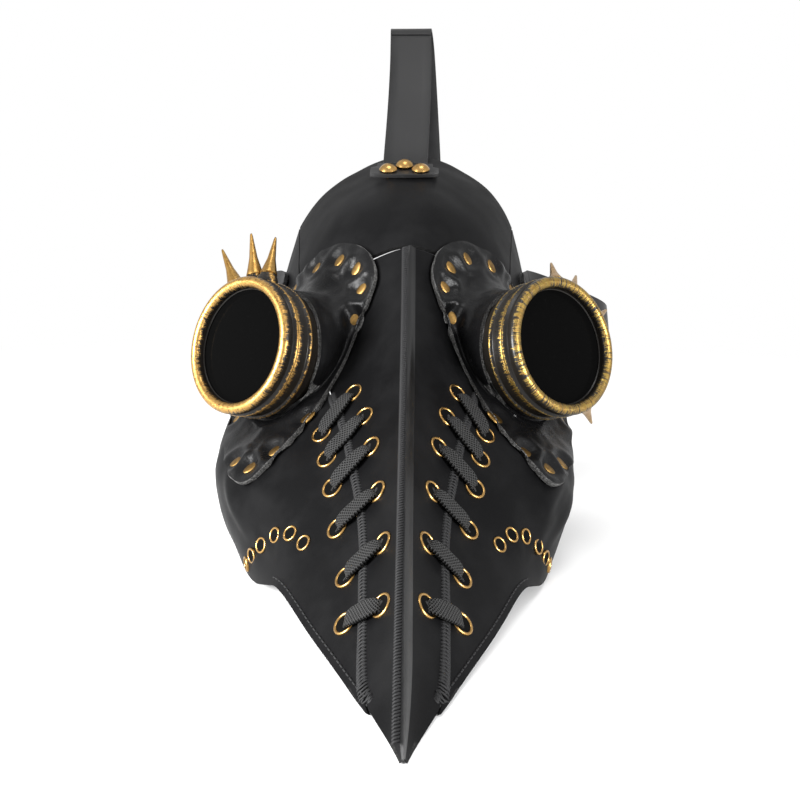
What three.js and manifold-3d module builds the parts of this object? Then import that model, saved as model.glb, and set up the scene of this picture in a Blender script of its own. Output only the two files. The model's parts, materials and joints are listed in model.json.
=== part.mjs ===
// Plague doctor mask: a laced leather beak and hood with two screw-ringed goggles and a buckled head strap.
// Millimetres. +X is the wearer's left, -Y is where the beak points, +Z is up.
// _l is the wearer's left (+X), _r the wearer's right (-X). The mask rests on Z = 0.
import * as THREE from 'three';
import { mergeVertices } from 'three/addons/utils/BufferGeometryUtils.js';
import Module from 'manifold-3d';

const wasm = await Module();
wasm.setup();

// ---- Driving dimensions ----
const MASK_WIDTH = 188;       // across both cheeks
const MASK_DEPTH = 322;       // beak tip to the rear of the crown
const MASK_HEIGHT = 200;      // table to the crown
const SETTLE = 0.105;         // how far the soft hide has settled towards the wearer's right
const HIDE = 2.2;             // thickness of the face leather
const FLANGE_HIDE = 1.8;      // thickness of the leather round each goggle
const LINING_HIDE = 1.5;      // thickness of the folded hem
const GAP = 0.35;             // air between pieces that touch
const SEAM_GAP = 0.55;        // half the air along a seam between two panels
const MID_GAP = 0.6;          // air between the left and right beak panels

const WELT_HALF_WIDTH = 2.9;  // ridge welt, measured along the leather
const WELT_THICKNESS = 1.5;
const HEM_WIDTH = 9;
const TAB_WIDTH = 15;         // jaw tabs
const TAB_REACH = 9;
const TAB_RISE = 14;

const GOGGLE_X = 77;          // centre of the front ring before the hide settles
const GOGGLE_Y = 198;
const GOGGLE_Z = 105;
const BEZEL_RADIUS = 34.3;
const BEZEL_DEPTH = 9;
const LENS_RADIUS = 30.2;
const LENS_THICKNESS = 2;
const LENS_OPENING = 27.2;
const GASKET_THICKNESS = 1.5;
const GASKET_WIDTH = 3.6;
const BARREL_RADIUS = 33.0;
const BARREL_BAND = 10;       // length of the fluted band between the rings
const BARREL_RING = 2.0;      // raised second ring
const BARREL_SLEEVE = 4.0;    // length that the flange neck grips
const THREAD_CLEARANCE = 0.4;
const EYE_HOLE_RADIUS = 24;
const DENT_RADIUS = 52;       // the hide behind a goggle is pressed in out to here
const DENT_DEPTH = 12;

const SPIKE_LENGTH = 23;
const SPIKE_RADIUS = 3.9;
const COLLAR_HEIGHT = 3.2;
const COLLAR_RADIUS = 4.6;

const EYELET_HOLE = 3.1;      // radius of a laced hole in the hide
const EYELET_WALL = 0.5;
const VENT_HOLE = 2.3;        // radius of a vent hole in the hide
const VENT_RADIUS = 3.7;      // outer radius of a vent eyelet
const LACE_WIDTH = 7.5;
const LACE_THICKNESS = 1.3;
const LACE_PINCH = 3.2;       // width of the lace inside an eyelet

const STRAP_WIDTH = 25;
const STRAP_THICKNESS = 2;
const CROWN_TAB_WIDTH = 38;
const CROWN_RIVET_RADIUS = 5;
const TEMPLE_RIVET_RADIUS = 5;
const RIVET_DOME = 1.6;
const BUCKLE_WIRE = 1.6;      // radius of the frame wire
const BUCKLE_LENGTH = 24;     // heel bar to front bar
const BUCKLE_MARGIN = 1.6;    // air between strap edge and frame side
const PRONG_RADIUS = 1.2;
const KEEPER_WIDTH = 8;
const KEEPER_THICKNESS = 1.6;

// ---- Shape of the hide ----
const REST_Z = 2;             // the lower rim is cut level here, before the whole mask is set on Z = 0
const REST_BAND = 2.6;        // what would end below this height is cut level too

// Rows run from the beak tip to the rear rim; a row runs from the ridge line out and down to the lower edge.
const NET_WIDTH = 188;
const NET_DEPTH = 322;
const NET_HEIGHT = 200;
const FACE_NET = [
  [[0, 0, 5], [0.7, 0.1, 4.2], [1.2, 0.3, 3.4], [1.6, 0.5, 2.6], [2.0, 0.7, 1.8], [2.3, 0.9, 1.2]],
  [[0, 45, 27], [3, 46, 21.5], [8, 46.5, 15], [12.5, 46.5, 10.5], [16, 46, 7], [19.4, 45, 4]],
  [[0, 85, 51], [5, 86, 42], [13, 87, 31.5], [21, 87, 23], [29, 86.5, 15.5], [36.5, 85, 7]],
  [[0, 118, 70], [6.5, 119, 59], [16, 121, 48], [29, 122, 37], [42, 122, 26], [52, 121, 12]],
  [[0, 148, 88], [9, 150, 77], [22, 153, 66], [42, 152, 52], [62, 150, 33], [63, 143, 5]],
  [[0, 180, 110], [12, 184, 100], [28, 190, 87], [55, 186, 66], [82, 180, 38], [72, 172, 2]],
  [[0, 205, 133], [13, 212, 124], [33, 222, 108], [62, 222, 80], [92, 212, 44], [79, 202, 2]],
  [[0, 222, 152], [14, 228, 148], [38, 240, 133], [64, 246, 102], [94, 240, 50], [82, 228, 2]],
  [[0, 252, 172], [16, 254, 170.5], [45, 264, 153], [68, 274, 112], [91, 264, 54], [81, 248, 2]],
  [[0, 290, 189], [18, 290, 187.5], [50, 292, 167], [70, 292, 122], [88, 282, 58], [79, 264, 2]],
  [[0, 322, 200], [20, 320, 198], [54, 312, 174], [71, 303, 126], [85, 294, 60], [77, 276, 2]],
];
const ARCH_V = 0.7;           // where the beak panels end over the forehead
const TIP_V = 0.02;           // the panels stop just short of the very point
const JAW_V = 0.3;            // where the beak's lower edge meets the jaw
// Seam between beak panel and cheek panel, then between forehead and cheek: [v, u].
const SEAM = [[0, 1], [0.055, 1], [0.08, 0.86], [0.12, 0.62], [0.16, 0.53], [0.22, 0.45], [0.3, 0.44],
  [0.4, 0.43], [0.48, 0.45], [0.58, 0.51], [0.7, 0.52], [1, 0.47]];
// Laced pairs from the brow to the beak: [v of inner, u of inner, v of outer, u of outer].
const LACED_PAIRS = [[0.479, 0.373, 0.45, 0.51], [0.432, 0.335, 0.408, 0.517], [0.379, 0.312, 0.358, 0.535],
  [0.302, 0.3, 0.295, 0.577], [0.219, 0.29, 0.222, 0.594], [0.147, 0.33, 0.168, 0.7]];
// Vent holes low on each cheek, in an arc round the jaw fold: [v, u].
const VENTS = [[0.312, 0.757], [0.341, 0.775], [0.367, 0.822], [0.392, 0.88], [0.422, 0.93], [0.45, 0.965]];
// Outline of the goggle flange round the goggle axis: [degrees from up, radius]; outward is positive.
const FLANGE_OUTLINE = [[-172, 61], [-163, 67], [-155, 66], [-147, 57.5], [-131, 49.5], [-114, 39],
  [-89, 32.6], [-62, 36], [-47, 46.8], [-38, 59], [-26, 64.7], [-10, 66], [9, 60], [24, 54], [45, 49],
  [80, 44], [115, 42], [145, 45], [168, 52]];

const vec = (x, y, z) => new THREE.Vector3(x, y, z);
const rad = THREE.MathUtils.degToRad;
const clamp01 = (t) => Math.min(1, Math.max(0, t));

// ---- The hide as a surface ----
const size = (p) => vec(p[0] * MASK_WIDTH / NET_WIDTH, p[1] * MASK_DEPTH / NET_DEPTH,
  p[2] * MASK_HEIGHT / NET_HEIGHT);
const along = (points) => new THREE.CatmullRomCurve3(points, false, 'catmullrom', 0.5);
const columns = FACE_NET[0].map((_, j) => along(FACE_NET.map((row) => size(row[j]))));

function settle(p) {
  const lean = SETTLE * clamp01(p.y / 250) * (1 - p.z / 250);
  return vec(p.x - Math.abs(p.x) * lean, p.y, p.z);
}

// Goggle frame: centre of the front ring, its axis, and the up and outward directions across it.
function goggleFrame(side) {
  const centre = settle(size([GOGGLE_X * side, GOGGLE_Y, GOGGLE_Z]));
  const axis = vec(0.606 * side, -0.747, 0.271).normalize();
  const up = vec(0, 0, 1).addScaledVector(axis, -axis.z).normalize();
  return { centre, axis, up, out: up.clone().cross(axis).multiplyScalar(side) };
}
const FRAMES = { 1: goggleFrame(1), [-1]: goggleFrame(-1) };

// The hide is pressed back behind each goggle, most at the goggle axis.
function pressIn(side, p) {
  const { centre, axis } = FRAMES[side];
  const d = p.clone().sub(centre);
  const r = d.clone().addScaledVector(axis, -d.dot(axis)).length();
  if (r > DENT_RADIUS) return p;
  return p.addScaledVector(axis, -DENT_DEPTH * (1 + Math.cos(Math.PI * r / DENT_RADIUS)) / 2);
}

function facePoint(side, u, v) {
  const p = along(columns.map((c) => c.getPoint(clamp01(v)))).getPoint(clamp01(u));
  const hide = pressIn(side, settle(vec(p.x * side, p.y, p.z)));
  return hide.setZ(Math.max(hide.z, REST_Z));
}

// Point and outward normal of the hide at u (ridge to edge) and v (tip to rear rim).
function skin(side, u, v) {
  const step = 0.012;
  const p = facePoint(side, u, v);
  const across = facePoint(side, u + step, v).sub(facePoint(side, u - step, v));
  const back = facePoint(side, u, v + step).sub(facePoint(side, u, v - step));
  return { p, n: across.cross(back).multiplyScalar(side).normalize() };
}

// u at a distance from the ridge, measured along the leather.
function uFromRidge(side, v, distance) {
  const probe = 0.04;
  return distance * probe / facePoint(side, probe, v).distanceTo(facePoint(side, 0, v));
}

function seamU(v) {
  const k = Math.max(1, SEAM.findIndex((s) => s[0] >= v));
  const [a, b] = [SEAM[k - 1], SEAM[k]];
  return a[1] + (b[1] - a[1]) * THREE.MathUtils.clamp((v - a[0]) / (b[0] - a[0]), 0, 1);
}

// ---- Closed solids from two matching grids of points ----
function volumeOf(points, faces) {
  let six = 0;
  for (const [a, b, c] of faces) {
    six += points[a].dot(points[b].clone().cross(points[c]));
  }
  return six / 6;
}

function solidOf(points, faces) {
  const wound = volumeOf(points, faces) > 0 ? faces : faces.map(([a, b, c]) => [a, c, b]);
  const geometry = new THREE.BufferGeometry();
  geometry.setAttribute('position', new THREE.Float32BufferAttribute(points.flatMap((p) => p.toArray()), 3));
  geometry.setIndex(wound.flat());
  geometry.computeVertexNormals();
  return geometry;
}

// Wall between an outer and an inner grid; ring = true joins the last column to the first.
function wall(outer, inner, ring = false) {
  const rows = outer.length;
  const cols = outer[0].length;
  const points = [...outer.flat(), ...inner.flat()];
  const at = (layer, i, j) => layer * rows * cols + i * cols + (j % cols);
  const faces = [];
  const quad = (a, b, c, d) => faces.push([a, b, c], [a, c, d]);
  const lastCol = ring ? cols : cols - 1;
  for (let i = 0; i < rows - 1; i++) {
    for (let j = 0; j < lastCol; j++) {
      quad(at(0, i, j), at(0, i, j + 1), at(0, i + 1, j + 1), at(0, i + 1, j));
      quad(at(1, i, j), at(1, i + 1, j), at(1, i + 1, j + 1), at(1, i, j + 1));
    }
  }
  for (let j = 0; j < lastCol; j++) {
    quad(at(0, 0, j + 1), at(0, 0, j), at(1, 0, j), at(1, 0, j + 1));
    quad(at(0, rows - 1, j), at(0, rows - 1, j + 1), at(1, rows - 1, j + 1), at(1, rows - 1, j));
  }
  if (!ring) {
    for (let i = 0; i < rows - 1; i++) {
      quad(at(0, i, 0), at(0, i + 1, 0), at(1, i + 1, 0), at(1, i, 0));
      quad(at(0, i + 1, cols - 1), at(0, i, cols - 1), at(1, i, cols - 1), at(1, i + 1, cols - 1));
    }
  }
  return solidOf(points, faces);
}

// A flat band along stations { p, w, t, width, thick }: w is the width direction, t the thickness direction.
function band(stations) {
  const corners = (s) => [[1, 1], [-1, 1], [-1, -1], [1, -1]].map(([a, b]) => s.p.clone()
    .addScaledVector(s.w, a * s.width / 2).addScaledVector(s.t, b * s.thick / 2));
  const points = stations.flatMap(corners);
  const faces = [[0, 1, 2], [0, 2, 3]];
  for (let i = 0; i < stations.length - 1; i++) {
    for (let k = 0; k < 4; k++) {
      const a = i * 4 + k;
      const b = i * 4 + (k + 1) % 4;
      faces.push([a, a + 4, b + 4], [a, b + 4, b]);
    }
  }
  const e = (stations.length - 1) * 4;
  faces.push([e, e + 2, e + 1], [e, e + 3, e + 2]);
  return solidOf(points, faces);
}

// Stations of a strap along a curve, its width kept along `width direction` as nearly as the path allows.
function strapStations(curve, count, widthDir, width, thick) {
  return Array.from({ length: count + 1 }, (_, i) => {
    const f = i / count;
    const run = curve.getTangent(f);
    const t = (typeof widthDir === 'function' ? widthDir(f) : widthDir.clone()).cross(run).normalize();
    const w = run.clone().cross(t).normalize();
    return { p: curve.getPoint(f), w, t, width: typeof width === 'function' ? width(f) : width, thick };
  });
}

// ---- Cutting and joining ----
function toSolid(geometry) {
  const bare = geometry.clone();
  bare.deleteAttribute('normal');
  bare.deleteAttribute('uv');
  const merged = mergeVertices(bare, 1e-4);
  return new wasm.Manifold(new wasm.Mesh({
    numProp: 3,
    vertProperties: new Float32Array(merged.attributes.position.array),
    triVerts: new Uint32Array(merged.index.array),
  }));
}

function fromSolid(solid) {
  const mesh = solid.getMesh();
  const geometry = new THREE.BufferGeometry();
  geometry.setAttribute('position', new THREE.BufferAttribute(new Float32Array(mesh.vertProperties), 3));
  geometry.setIndex(new THREE.BufferAttribute(new Uint32Array(mesh.triVerts), 1));
  geometry.computeVertexNormals();
  return geometry;
}

const cut = (geometry, tools) => fromSolid(tools.reduce((s, t) => s.subtract(toSolid(t)), toSolid(geometry)));
const join = (geometries) => fromSolid(geometries.map(toSolid).reduce((a, b) => a.add(b)));

// A cylinder centred on `at`, along `axis`.
function peg(at, axis, radius, length, sides = 10) {
  const g = new THREE.CylinderGeometry(radius, radius, length, sides);
  g.applyQuaternion(new THREE.Quaternion().setFromUnitVectors(vec(0, 1, 0), axis.clone().normalize()));
  return g.translate(at.x, at.y, at.z);
}

function block(cx, cy, cz, sx, sy, sz) {
  return new THREE.BoxGeometry(sx, sy, sz).translate(cx, cy, cz);
}

// A turned solid from [radius, height along the axis] points, on the local +Y axis.
function turned(profile, sides) {
  const first = profile[0];
  const last = profile[profile.length - 1];
  const loop = first[0] > 0 || last[0] > 0 ? profile : [...profile, first];
  const area = loop.reduce((sum, [r, h], i) => {
    const [r2, h2] = loop[(i + 1) % loop.length];
    return sum + r * h2 - r2 * h;
  }, 0);
  const run = area > 0 ? profile : [...profile].reverse();
  return new THREE.LatheGeometry(run.map(([r, h]) => new THREE.Vector2(r, h)), sides);
}

// ---- The object ----
const mask = new THREE.Group();
const LEATHER_LOOK = { color: 0x1b1b1d, roughness: 0.5, metalness: 0 };
const FLANGE_LOOK = { color: 0x17171a, roughness: 0.32, metalness: 0 };
const GOLD_LOOK = { color: 0xc8963a, roughness: 0.35, metalness: 1 };
const BRASS_LOOK = { color: 0xa87c38, roughness: 0.4, metalness: 1 };
const BARREL_LOOK = { color: 0x141210, roughness: 0.45, metalness: 0.2 };
const LENS_LOOK = { color: 0x050505, roughness: 0.08, metalness: 0 };
const RUBBER_LOOK = { color: 0x101010, roughness: 0.7, metalness: 0 };
const LACE_LOOK = { color: 0x141414, roughness: 0.9, metalness: 0 };
const STRAP_LOOK = { color: 0x1e1e20, roughness: 0.42, metalness: 0 };

function add(name, geometry, look, parent = mask) {
  const mesh = new THREE.Mesh(geometry, new THREE.MeshStandardMaterial({ ...look, name }));
  mesh.name = name;
  parent.add(mesh);
  return mesh;
}

const SIDES = [{ tag: 'l', side: 1 }, { tag: 'r', side: -1 }];
const sheetPoint = (s, lift) => s.p.clone().addScaledVector(s.n, lift);

const polar = (frame, degrees, radius, w) => frame.centre.clone().addScaledVector(frame.axis, w)
  .addScaledVector(frame.up, radius * Math.cos(rad(degrees)))
  .addScaledVector(frame.out, radius * Math.sin(rad(degrees)));

// The hide as a triangle mesh for dropping points on.
function skinMesh(side) {
  const [nu, nv] = [36, 70];
  const grid = Array.from({ length: nv + 1 }, (_, i) => Array.from({ length: nu + 1 }, (_, j) =>
    facePoint(side, j / nu, i / nv)));
  const faces = [];
  for (let i = 0; i < nv; i++) {
    for (let j = 0; j < nu; j++) {
      const a = i * (nu + 1) + j;
      faces.push(a, a + 1, a + nu + 2, a, a + nu + 2, a + nu + 1);
    }
  }
  const geometry = new THREE.BufferGeometry();
  const places = grid.flat().flatMap((p) => p.toArray());
  geometry.setAttribute('position', new THREE.Float32BufferAttribute(places, 3));
  geometry.setIndex(faces);
  return new THREE.Mesh(geometry, new THREE.MeshBasicMaterial({ side: THREE.DoubleSide }));
}

// Where a line from `from` along `dir` meets the hide, with the hide's outward normal; null past its edge.
function dropOn(mesh, from, dir) {
  const hit = new THREE.Raycaster(from, dir).intersectObject(mesh)[0];
  if (!hit) return null;
  const n = hit.face.normal.clone();
  return { p: hit.point, n: n.dot(dir) > 0 ? n.negate() : n };
}

// ---- Face panels ----
const V_STEP = 1 / 30;        // row spacing of every panel
const PANEL_START = 0.5;      // the beak panels start this far from the ridge line
const ARCH_OVERLAP = 0.004;   // half the air, in v, where the forehead meets the beak panels
const CHEEK_START = 0.012;    // the cheek panels start this far, in v, behind the seam's first bend

// Rows that all panels share, so that their edges along a seam follow the same chords.
function rowsBetween(v0, v1) {
  const first = Math.ceil(v0 / V_STEP + 0.3);
  const last = Math.floor(v1 / V_STEP - 0.3);
  const between = Array.from({ length: last - first + 1 }, (_, i) => (first + i) * V_STEP);
  return [v0, ...between, v1];
}

// Leather panel on one side between two u limits (functions of v), its outer face `lift` off the hide.
function panel(side, v0, v1, uFrom, uTo, cols, lift, thick) {
  const keep = (p) => vec(side * Math.max(side * p.x, MID_GAP / 2), p.y, p.z);
  const grid = rowsBetween(v0, v1).map((v) => {
    const [a, b] = [uFrom(v), uTo(v)];
    return Array.from({ length: cols + 1 }, (_, j) => skin(side, a + (b - a) * j / cols, v));
  });
  const flatFoot = (p, s) => vec(p.x, p.y, s.p.z < REST_BAND ? REST_Z : Math.max(p.z, REST_Z));
  return wall(grid.map((row) => row.map((s) => flatFoot(keep(sheetPoint(s, lift)), s))),
    grid.map((row) => row.map((s) => flatFoot(keep(sheetPoint(s, lift - thick)), s))));
}
const rowLength = (side, v) => [0.25, 0.5, 0.75, 1].reduce((sum, u) =>
  sum + facePoint(side, u, v).distanceTo(facePoint(side, u - 0.25, v)), 0);
const seamGap = (side, v) => SEAM_GAP / rowLength(side, v);

function holePegs(side, places, radius) {
  return places.map(([v, u]) => {
    const s = skin(side, u, v);
    return peg(s.p, s.n, radius, 4 * HIDE, 8);
  });
}

function beakPanel(side) {
  const body = panel(side, TIP_V, ARCH_V - ARCH_OVERLAP, (v) => uFromRidge(side, v, PANEL_START),
    (v) => seamU(v) - seamGap(side, v), 4, 0, HIDE);
  return cut(body, holePegs(side, LACED_PAIRS, EYELET_HOLE));
}

function eyeCut(side) {
  const f = FRAMES[side];
  return peg(polar(f, 0, 0, -40), f.axis, EYE_HOLE_RADIUS, 120, 18);
}

function cheekPanel(side) {
  const frontEdge = (v) => Math.min(0.99, seamU(v) + seamGap(side, v));
  const body = panel(side, SEAM[1][0] + CHEEK_START, 1, frontEdge, () => 1, 6, 0, HIDE);
  const laceHoles = holePegs(side, LACED_PAIRS.map((p) => p.slice(2)), EYELET_HOLE);
  const ventHoles = holePegs(side, VENTS, VENT_HOLE);
  return cut(body, [...laceHoles, ...ventHoles, eyeCut(side), ...shankPegs([templeSeat(side)])]);
}

function foreheadPanel() {
  const rows = 8;
  const half = 7;
  const grid = Array.from({ length: rows + 1 }, (_, i) => {
    const v = ARCH_V + ARCH_OVERLAP + (1 - ARCH_V - ARCH_OVERLAP) * i / rows;
    const edge = seamU(v) - seamGap(1, v);
    return Array.from({ length: 2 * half + 1 }, (_, j) => {
      const side = j < half ? -1 : 1;
      const s = skin(side, edge * Math.abs(j - half) / half, v);
      if (j === half) s.n.setX(0).normalize();
      return s;
    });
  });
  const layer = (lift) => grid.map((row) => row.map((s) => sheetPoint(s, lift)));
  const body = wall(layer(0), layer(-HIDE));
  return cut(body, [eyeCut(1), eyeCut(-1), ...shankPegs(crownSeats())]);
}

function ridgeWelt() {
  const rows = 26;
  const grid = Array.from({ length: rows + 1 }, (_, i) => {
    const v = TIP_V + (ARCH_V - 0.008 - TIP_V) * i / rows;
    return [-2, -1, 0, 1, 2].map((k) => {
      const side = k < 0 ? -1 : 1;
      const s = skin(side, uFromRidge(side, v, WELT_HALF_WIDTH * Math.abs(k) / 2), v);
      if (k !== 0) return { ...s, mitre: 1 };
      const mid = vec(0, s.n.y, s.n.z).normalize();
      return { p: s.p, n: mid, mitre: Math.min(2.2, 1 / mid.dot(s.n)) };
    });
  });
  const layer = (lift) => grid.map((row) => row.map((s) => sheetPoint(s, lift * s.mitre)));
  return wall(layer(GAP + WELT_THICKNESS), layer(GAP));
}

// Folded hem inside the beak's lower edge.
function beakHem(side) {
  const width = (v) => 1 - HEM_WIDTH / facePoint(side, 1, v).distanceTo(facePoint(side, 0, v)) * 0.9;
  return panel(side, 0.075, JAW_V - 0.01, (v) => width(v), () => 0.985, 2, -HIDE - GAP, LINING_HIDE);
}

// Tab of hide at the jaw, folded under so that its flat bottom stands on the table.
function jawTab(side) {
  const s = skin(side, 0.93, JAW_V + 0.03);
  const run = facePoint(side, 1, JAW_V + 0.06).sub(facePoint(side, 1, JAW_V)).setZ(0).normalize();
  const inward = vec(-run.y, run.x, 0).multiplyScalar(-side).normalize();
  const toMid = inward.x * side > 0 ? inward.negate() : inward;
  const root = s.p.clone().addScaledVector(s.n, -HIDE - 2 * GAP - HIDE);
  const foot = REST_Z + HIDE / 2;
  const at = (reach, z) => vec(root.x + toMid.x * reach, root.y + toMid.y * reach, z);
  const standing = [at(1.5, foot + TAB_RISE), at(0.6, foot + TAB_RISE * 0.55), at(1.2, foot + 1.6)];
  const lying = [at(3.2, foot), at(6, foot), at(TAB_REACH, foot + 1.4), at(TAB_REACH + 1.6, foot + 4.5)];
  const path = along([...standing, ...lying]);
  return levelled(band(strapStations(path, 12, run, TAB_WIDTH, HIDE)));
}

// Cuts a piece's underside level at the rest plane.
function levelled(geometry) {
  const place = geometry.attributes.position;
  for (let i = 0; i < place.count; i++) {
    if (place.getZ(i) < REST_BAND) place.setZ(i, REST_Z);
  }
  return geometry;
}

// Brass eyelet: a rolled ring outside, a tube through the hide and a flat ring inside.
function eyelet(s) {
  const tube = VENT_HOLE - GAP;
  const lip = 2 * GAP + 0.25;  // the hide is curved, so the rings stand a little off it
  const bore = tube - EYELET_WALL;
  const back = -HIDE - lip;
  const g = turned([[bore, lip], [bore + 0.4, lip + 0.9], [VENT_RADIUS - 0.5, lip + 0.9], [VENT_RADIUS, lip],
    [tube, lip], [tube, back], [VENT_RADIUS - 0.8, back], [VENT_RADIUS - 0.8, back - EYELET_WALL],
    [bore, back - EYELET_WALL], [bore, lip]], 8);
  g.applyQuaternion(new THREE.Quaternion().setFromUnitVectors(vec(0, 1, 0), s.n));
  return g.translate(s.p.x, s.p.y, s.p.z);
}

// ---- Goggles ----
// Leather flange: a neck that grips the barrel and spreads into a leaf-shaped patch on the face.
const OFF_HIDE_W = -62;
const NECK_TOP_W = -(BEZEL_DEPTH + GAP + BARREL_BAND + BARREL_RING + GAP);
function goggleFlange(side) {
  const f = FRAMES[side];
  const hide = skinMesh(side);
  const around = along([...FLANGE_OUTLINE.slice(-2).map(([a, r]) => vec(a - 360, r, 0)),
    ...FLANGE_OUTLINE.map(([a, r]) => vec(a, r, 0)),
    ...FLANGE_OUTLINE.slice(0, 2).map(([a, r]) => vec(a + 360, r, 0))]);
  const segments = 30;
  const rows = 7;
  const neck = BARREL_RADIUS - 2 + 1.5 * GAP + FLANGE_HIDE;
  const clear = FLANGE_HIDE + 0.8;
  const count = FLANGE_OUTLINE.length;
  const edgePoint = (k) => around.getPoint((2 + count * k / segments) / (count + 3));
  // Height along the axis that clears the hide; past the hide's edge the flange hangs at OFF_HIDE_W.
  const heightAt = (angle, radius) => {
    const hit = dropOn(hide, polar(f, angle, radius, 30), f.axis.clone().negate());
    if (!hit) return OFF_HIDE_W;
    return hit.p.clone().sub(f.centre).dot(f.axis) + clear / Math.max(0.45, hit.n.dot(f.axis));
  };
  const outer = Array.from({ length: rows + 1 }, () => []);
  for (let k = 0; k < segments; k++) {
    const e = edgePoint(k);
    const [angle, radius] = [e.x, e.y];
    const edgeW = heightAt(angle, radius);
    const foot = Math.min(neck + 5, radius - 5);
    const footW = heightAt(angle, foot);
    const top = NECK_TOP_W;
    const p = [[neck, top], [neck, top + (footW - top) * 0.75], [foot - 1, footW + 1], [radius, edgeW]];
    for (let i = 0; i <= rows; i++) {
      const t = i / rows;
      const b = [(1 - t) ** 3, 3 * t * (1 - t) ** 2, 3 * t * t * (1 - t), t ** 3];
      const r = b.reduce((sum, c, m) => sum + c * p[m][0], 0);
      const w = b.reduce((sum, c, m) => sum + c * p[m][1], 0);
      const floor = i === 0 ? -99 : heightAt(angle, r);
      outer[i].push(polar(f, angle, r, Math.max(w, floor)));
    }
  }
  const normalAt = (i, k) => {
    const n = segments;
    const a = outer[Math.min(i + 1, rows)][k].clone().sub(outer[Math.max(i - 1, 0)][k]);
    const b = outer[i][(k + 1) % n].clone().sub(outer[i][(k + n - 1) % n]);
    const c = a.cross(b).normalize();
    const radial = outer[i][k].clone().sub(polar(f, 0, 0, -60));
    return c.dot(radial) < 0 ? c.negate() : c;
  };
  const under = (q, i, k) => q.clone().addScaledVector(normalAt(i, k), -FLANGE_HIDE);
  const inner = outer.map((row, i) => row.map((q, k) => under(q, i, k)));
  return wall(outer, inner, true);
}

// Group whose local +Y is the goggle axis and whose local +X is up across it.
function goggleGroup(side) {
  const f = FRAMES[side];
  const group = new THREE.Group();
  group.position.copy(f.centre);
  const basis = new THREE.Matrix4().makeBasis(f.up, f.axis, f.up.clone().cross(f.axis));
  group.quaternion.setFromRotationMatrix(basis);
  mask.add(group);
  return group;
}

const LIP = 3;                // depth of the bezel's front lip
const LENS_BACK = LIP + GAP + LENS_THICKNESS;
function bezelProfile() {
  const inner = LENS_RADIUS + 0.3 + GAP;
  const R = BEZEL_RADIUS;
  const front = [[LENS_OPENING, -LIP], [LENS_OPENING, -1.4], [LENS_OPENING + 1.4, -0.3], [R - 3.6, 0]];
  const rim = [[R - 1.4, -0.9], [R - 0.2, -2.8], [R, -4.4], [R - 0.9, -6.4], [R - 0.9, -BEZEL_DEPTH]];
  return [...front, ...rim, [inner, -BEZEL_DEPTH], [inner, -LIP], [LENS_OPENING, -LIP]];
}

function barrelProfile() {
  const front = -(LENS_BACK + GASKET_THICKNESS + 2 * GAP);
  const bore = LENS_RADIUS - GASKET_WIDTH;
  const shoulder = -(BEZEL_DEPTH + GAP);
  const spigot = LENS_RADIUS + 0.3 + GAP - THREAD_CLEARANCE;
  const R = BARREL_RADIUS;
  const ring = shoulder - BARREL_BAND;
  const back = ring - BARREL_RING;
  const sleeve = back - BARREL_SLEEVE;
  return [[bore, front], [spigot, front], [spigot, shoulder], [R, shoulder], [R, ring], [R + 1.6, ring - 0.5],
    [R + 1.6, back + 0.5], [R - 0.4, back], [R - 2, back], [R - 2, sleeve], [bore, sleeve], [bore, front]];
}

function spike() {
  return turned([[0, COLLAR_HEIGHT], [SPIKE_RADIUS, COLLAR_HEIGHT], [SPIKE_RADIUS, COLLAR_HEIGHT + 1.6],
    [SPIKE_RADIUS * 0.78, COLLAR_HEIGHT + 4], [0.45, SPIKE_LENGTH + COLLAR_HEIGHT - 0.5],
    [0, SPIKE_LENGTH + COLLAR_HEIGHT]], 8);
}

const SEAT_ROOT = 1.6;        // how far a spike seat runs into the barrel wall
function spikeSeat() {
  return turned([[0, -SEAT_ROOT], [COLLAR_RADIUS, -SEAT_ROOT], [COLLAR_RADIUS, COLLAR_HEIGHT - 1],
    [COLLAR_RADIUS - 0.8, COLLAR_HEIGHT - GAP], [0, COLLAR_HEIGHT - GAP]], 8);
}

// Where each spike stands on a barrel: [degrees from up towards outward, backward lean in degrees].
const SPIKES = { r: [[5, -4], [21, -2], [41, 0]], l: [[27, 24], [46, 24], [72, 24], [146, 10]] };
const SEATS = { r: [[5, -4], [21, -2], [41, 0], [146, 0]], l: [[27, 24], [46, 24], [72, 24], [146, 10]] };
const SPIKE_W = -(BEZEL_DEPTH + GAP + BARREL_BAND / 2);

// Turns a piece built on local +Y so that it stands out of the barrel at an angle.
function onBarrel(geometry, side, degrees, lean) {
  const g = geometry.clone();
  g.rotateZ(rad(-lean));
  g.translate(0, BARREL_RADIUS - 0.5, 0);
  g.rotateZ(rad(-90));
  g.rotateY(rad(-side * degrees));
  return g.translate(0, SPIKE_W, 0);
}

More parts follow.
